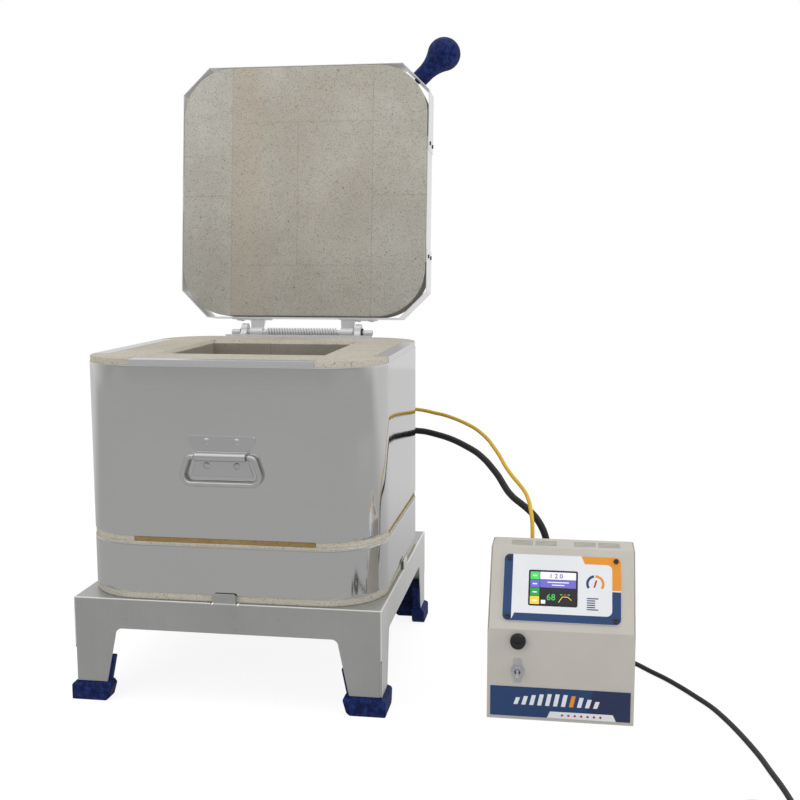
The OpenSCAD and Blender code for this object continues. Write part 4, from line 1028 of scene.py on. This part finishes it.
def panel_print():
    """The panel's generic print: navy at the left, an orange and navy sweep at the right
    and a dial of plain ticks beside the display."""
    w, h, gap = 0.093, 0.055, 0.0002
    lo, hi = PANEL_S - h, PANEL_S + h
    left_band = np.vstack((arc_points(-w + 0.009, hi - 0.009, 0.0088, 90, 180),
                           arc_points(-w + 0.009, lo + 0.009, 0.0088, 180, 270),
                           ((-0.079, lo + gap), (-0.079, hi - gap))))
    top_sweep = np.vstack((((0.030, hi - gap), (0.036, hi - 0.013), (0.070, hi - 0.013)),
                           arc_points(0.070, hi - 0.022, 0.009, 90, 0),
                           ((0.079, PANEL_S), (w - gap, PANEL_S)),
                           arc_points(w - 0.009, hi - 0.009, 0.0088, 0, 90)))[::-1]
    foot_sweep = np.vstack((((w - gap, PANEL_S - 0.002), (0.079, PANEL_S - 0.002), (0.079, lo + 0.022)),
                            arc_points(0.070, lo + 0.022, 0.009, 0, -90),
                            ((-0.074, lo + 0.013), (-0.080, lo + gap)),
                            arc_points(w - 0.009, lo + 0.009, 0.0088, -90, 0)))[::-1]
    x, s = 0.0525, PANEL_S + 0.010
    shapes = [(left_band, 0, 0), (top_sweep, 0, 1), (foot_sweep, 0, 0),
              (ring_part(x, s, 0.0105, 0.0145, 100, 215), 0, 0),
              (ring_part(x, s, 0.0105, 0.0145, -35, 90), 0, 1),
              (slanted(x - 0.0030, s - 0.006, 0.0028, 0.012, 0.0034), 0, 2)]
    for tick in range(6):
        length = 0.018 if tick % 5 == 0 else 0.013
        shapes.append((slanted(x - 0.013, PANEL_S - 0.015 - 0.0036 * tick, length, 0.0018, 0), 0, 0))
    inlay("panel_sheet_print", on_slope, shapes, [PANEL_NAVY, PANEL_ORANGE, PANEL_RED], "panel_print",
          PANEL_T)


def label_print():
    """The lower plate's generic print: a deeper navy right end, a row of white slanted bars with
    one orange bar among them and a pale foot strip with small red dots."""
    gap, z0 = 0.0002, 0.006
    x1, z1, foot = BOX_W / 2 - 0.0055 - gap, 0.055 - gap, z0 + gap
    shapes = [(np.array(((0.040, foot), (x1, foot), (x1, z1), (0.052, z1))), 0, 0)]
    bars = 11
    for i in range(bars):
        height = 0.010 + 0.010 * math.sin(math.pi * (i + 0.5) / bars)
        number = 2 if i == 7 else 1
        shapes.append((slanted(-0.073 + 0.0125 * i, 0.026, 0.0065, height, 0.004), 1, number))
    strip = np.array(((-0.020, foot), (0.088, foot), (0.083, z0 + 0.011), (-0.015, z0 + 0.011)))
    shapes.append((strip, 1, 1))
    for i in range(7):
        shapes.append((arc_points(0.004 + 0.010 * i, z0 + 0.0056, 0.0019, 0, 345, 15), 2, 3))
    inlay("label_plate_print", on_front, shapes, [PANEL_DEEP, PANEL_WHITE, PANEL_ORANGE, PANEL_RED],
          "panel_print", 0.0008)


def numerals(name, text, size, x, s, finish):
    """Plain numbers on the display, as a mesh placed on the slope."""
    thick, off_face = 0.00005, 0.00245
    letters = bpy.data.curves.new(name, "FONT")
    letters.body, letters.size, letters.extrude = text, size, thick
    letters.resolution_u = 3
    source = linked(name + "_text", letters)
    mesh = bpy.data.meshes.new_from_object(source)
    flat = np.zeros(len(mesh.vertices) * 3)
    mesh.vertices.foreach_get("co", flat)
    points = flat.reshape(-1, 3) + (x, s, off_face)
    mesh.vertices.foreach_set("co", on_slope(points).ravel())
    mesh.materials.clear()
    mesh.materials.append(finish)
    bpy.data.objects.remove(source)
    riding(name, mesh, "kiln")


def screen():
    """The display's lit picture: four keys, a pale bar, a violet bar and a firing curve."""
    shades = [glow("screen_dark", (30, 28, 34), 0.25)] + [glow("screen_" + name, tone) for name, tone in (
        ("pale", (214, 210, 226)), ("violet", (96, 92, 176)), ("green", (60, 190, 84)),
        ("deep_green", (28, 140, 62)), ("yellow", (222, 184, 60)), ("red", (206, 60, 70)))]
    margin = 0.0025
    x0, x1 = SCREEN_X - SCREEN_W / 2 + margin, SCREEN_X + SCREEN_W / 2 - margin
    s0, s1 = PANEL_S - SCREEN_H / 2 + margin, PANEL_S + SCREEN_H / 2 - margin
    key_w, key_h = 0.0150, (s1 - s0) / 4
    left = x0 + key_w + 0.0008
    middle = (left + x1) / 2
    shapes = []

    def patch(low_x, low_s, high_x, high_s, r, layer, number):
        """Adds a rectangle with round corners."""
        shapes.append((round_rect(low_x, low_s, high_x, high_s, r), layer, number))
    patch(x0, s0, x1, s1, 0.0006, 0, 0)
    for i, number in enumerate((5, 4, 2, 3)):
        y = s0 + key_h * i
        patch(x0 + 0.0003, y + 0.0004, x0 + key_w, y + key_h - 0.0004, 0.0006, 1, number)
        patch(x0 + 0.004, y + 0.0055, x0 + 0.011, y + 0.0075, 0.0004, 2, 1)
    patch(left, s1 - 0.0125, x1 - 0.0004, s1 - 0.0004, 0.0006, 1, 1)
    patch(left, s1 - 0.0260, x1 - 0.0004, s1 - 0.0132, 0.0006, 1, 2)
    for i, length in enumerate((0.034, 0.020)):
        y = s1 - 0.0180 - 0.0045 * i
        patch(middle - length / 2, y, middle + length / 2, y + 0.0016, 0.0004, 2, 1)
    patch(left + 0.002, s0 + 0.0015, left + 0.009, s0 + 0.0075, 0.0008, 1, 1)
    curve = np.array(((0.030, 0.004), (0.036, 0.013), (0.044, 0.013), (0.050, 0.008), (0.0505, 0.0088),
                      (0.0443, 0.0141), (0.0354, 0.0141), (0.0292, 0.0046)))
    shapes.append((curve + (left, s0), 1, 5))
    for i, number in enumerate((3, 6, 3)):
        x = left + 0.032 + 0.006 * i
        patch(x, s0 + 0.0164, x + 0.0035, s0 + 0.0178, 0.0003, 1, number)
    inlay("display_picture", on_slope, shapes, shades, "screen_glass", 0.0020)
    numerals("display_number", "68", 0.0145, left + 0.0105, s0 + 0.0075, shades[3])
    numerals("display_top_number", "1 2 0", 0.0105, left + 0.0145, s1 - 0.0102, GLASS)


def control_pieces():
    """The control box with its panel and fittings, and the plug of its mains lead."""
    dress_all((
        ("control_base control_cover", BOX_PAINT, "box_paint", 0.0005, 2),
        ("display_panel", PANEL_WHITE, "panel_print", 0.0003, 2),
        ("display", GLASS, "screen_glass", 0.0003, 2),
        ("panel_screws", SCREW_STEEL, "dark_screws", 0.0003, 2),
        ("controller_board", BOARD, "board_green", 0.0002, 1),
        ("relay", NYLON, "black_nylon", 0.0006, 2),
        ("transformer", COPPER, "copper_core", 0.0006, 2),
        ("fuse_holder fuse_cap", NYLON, "black_nylon", 0.0004, 2),
        ("toggle_switch", SWITCH_METAL, "switch_metal", 0.0003, 2),
        ("toggle_lever", SWITCH_METAL, "switch_metal", 0.0, 1),
        ("label_plate", PANEL_NAVY, "panel_print", 0.0002, 1)))
    blade_x = corners("mains_plug")[0][0] + 0.0192
    dress("mains_plug", [RUBBER, SWITCH_METAL], "cord_black", 0.0007, 2,
          paint=lambda middle: middle[:, 0] < blade_x)
    panel_print()
    label_print()
    screen()


body_pieces()
heating_coils()
lid_and_hinge()
back_pieces()
control_pieces()
cords()
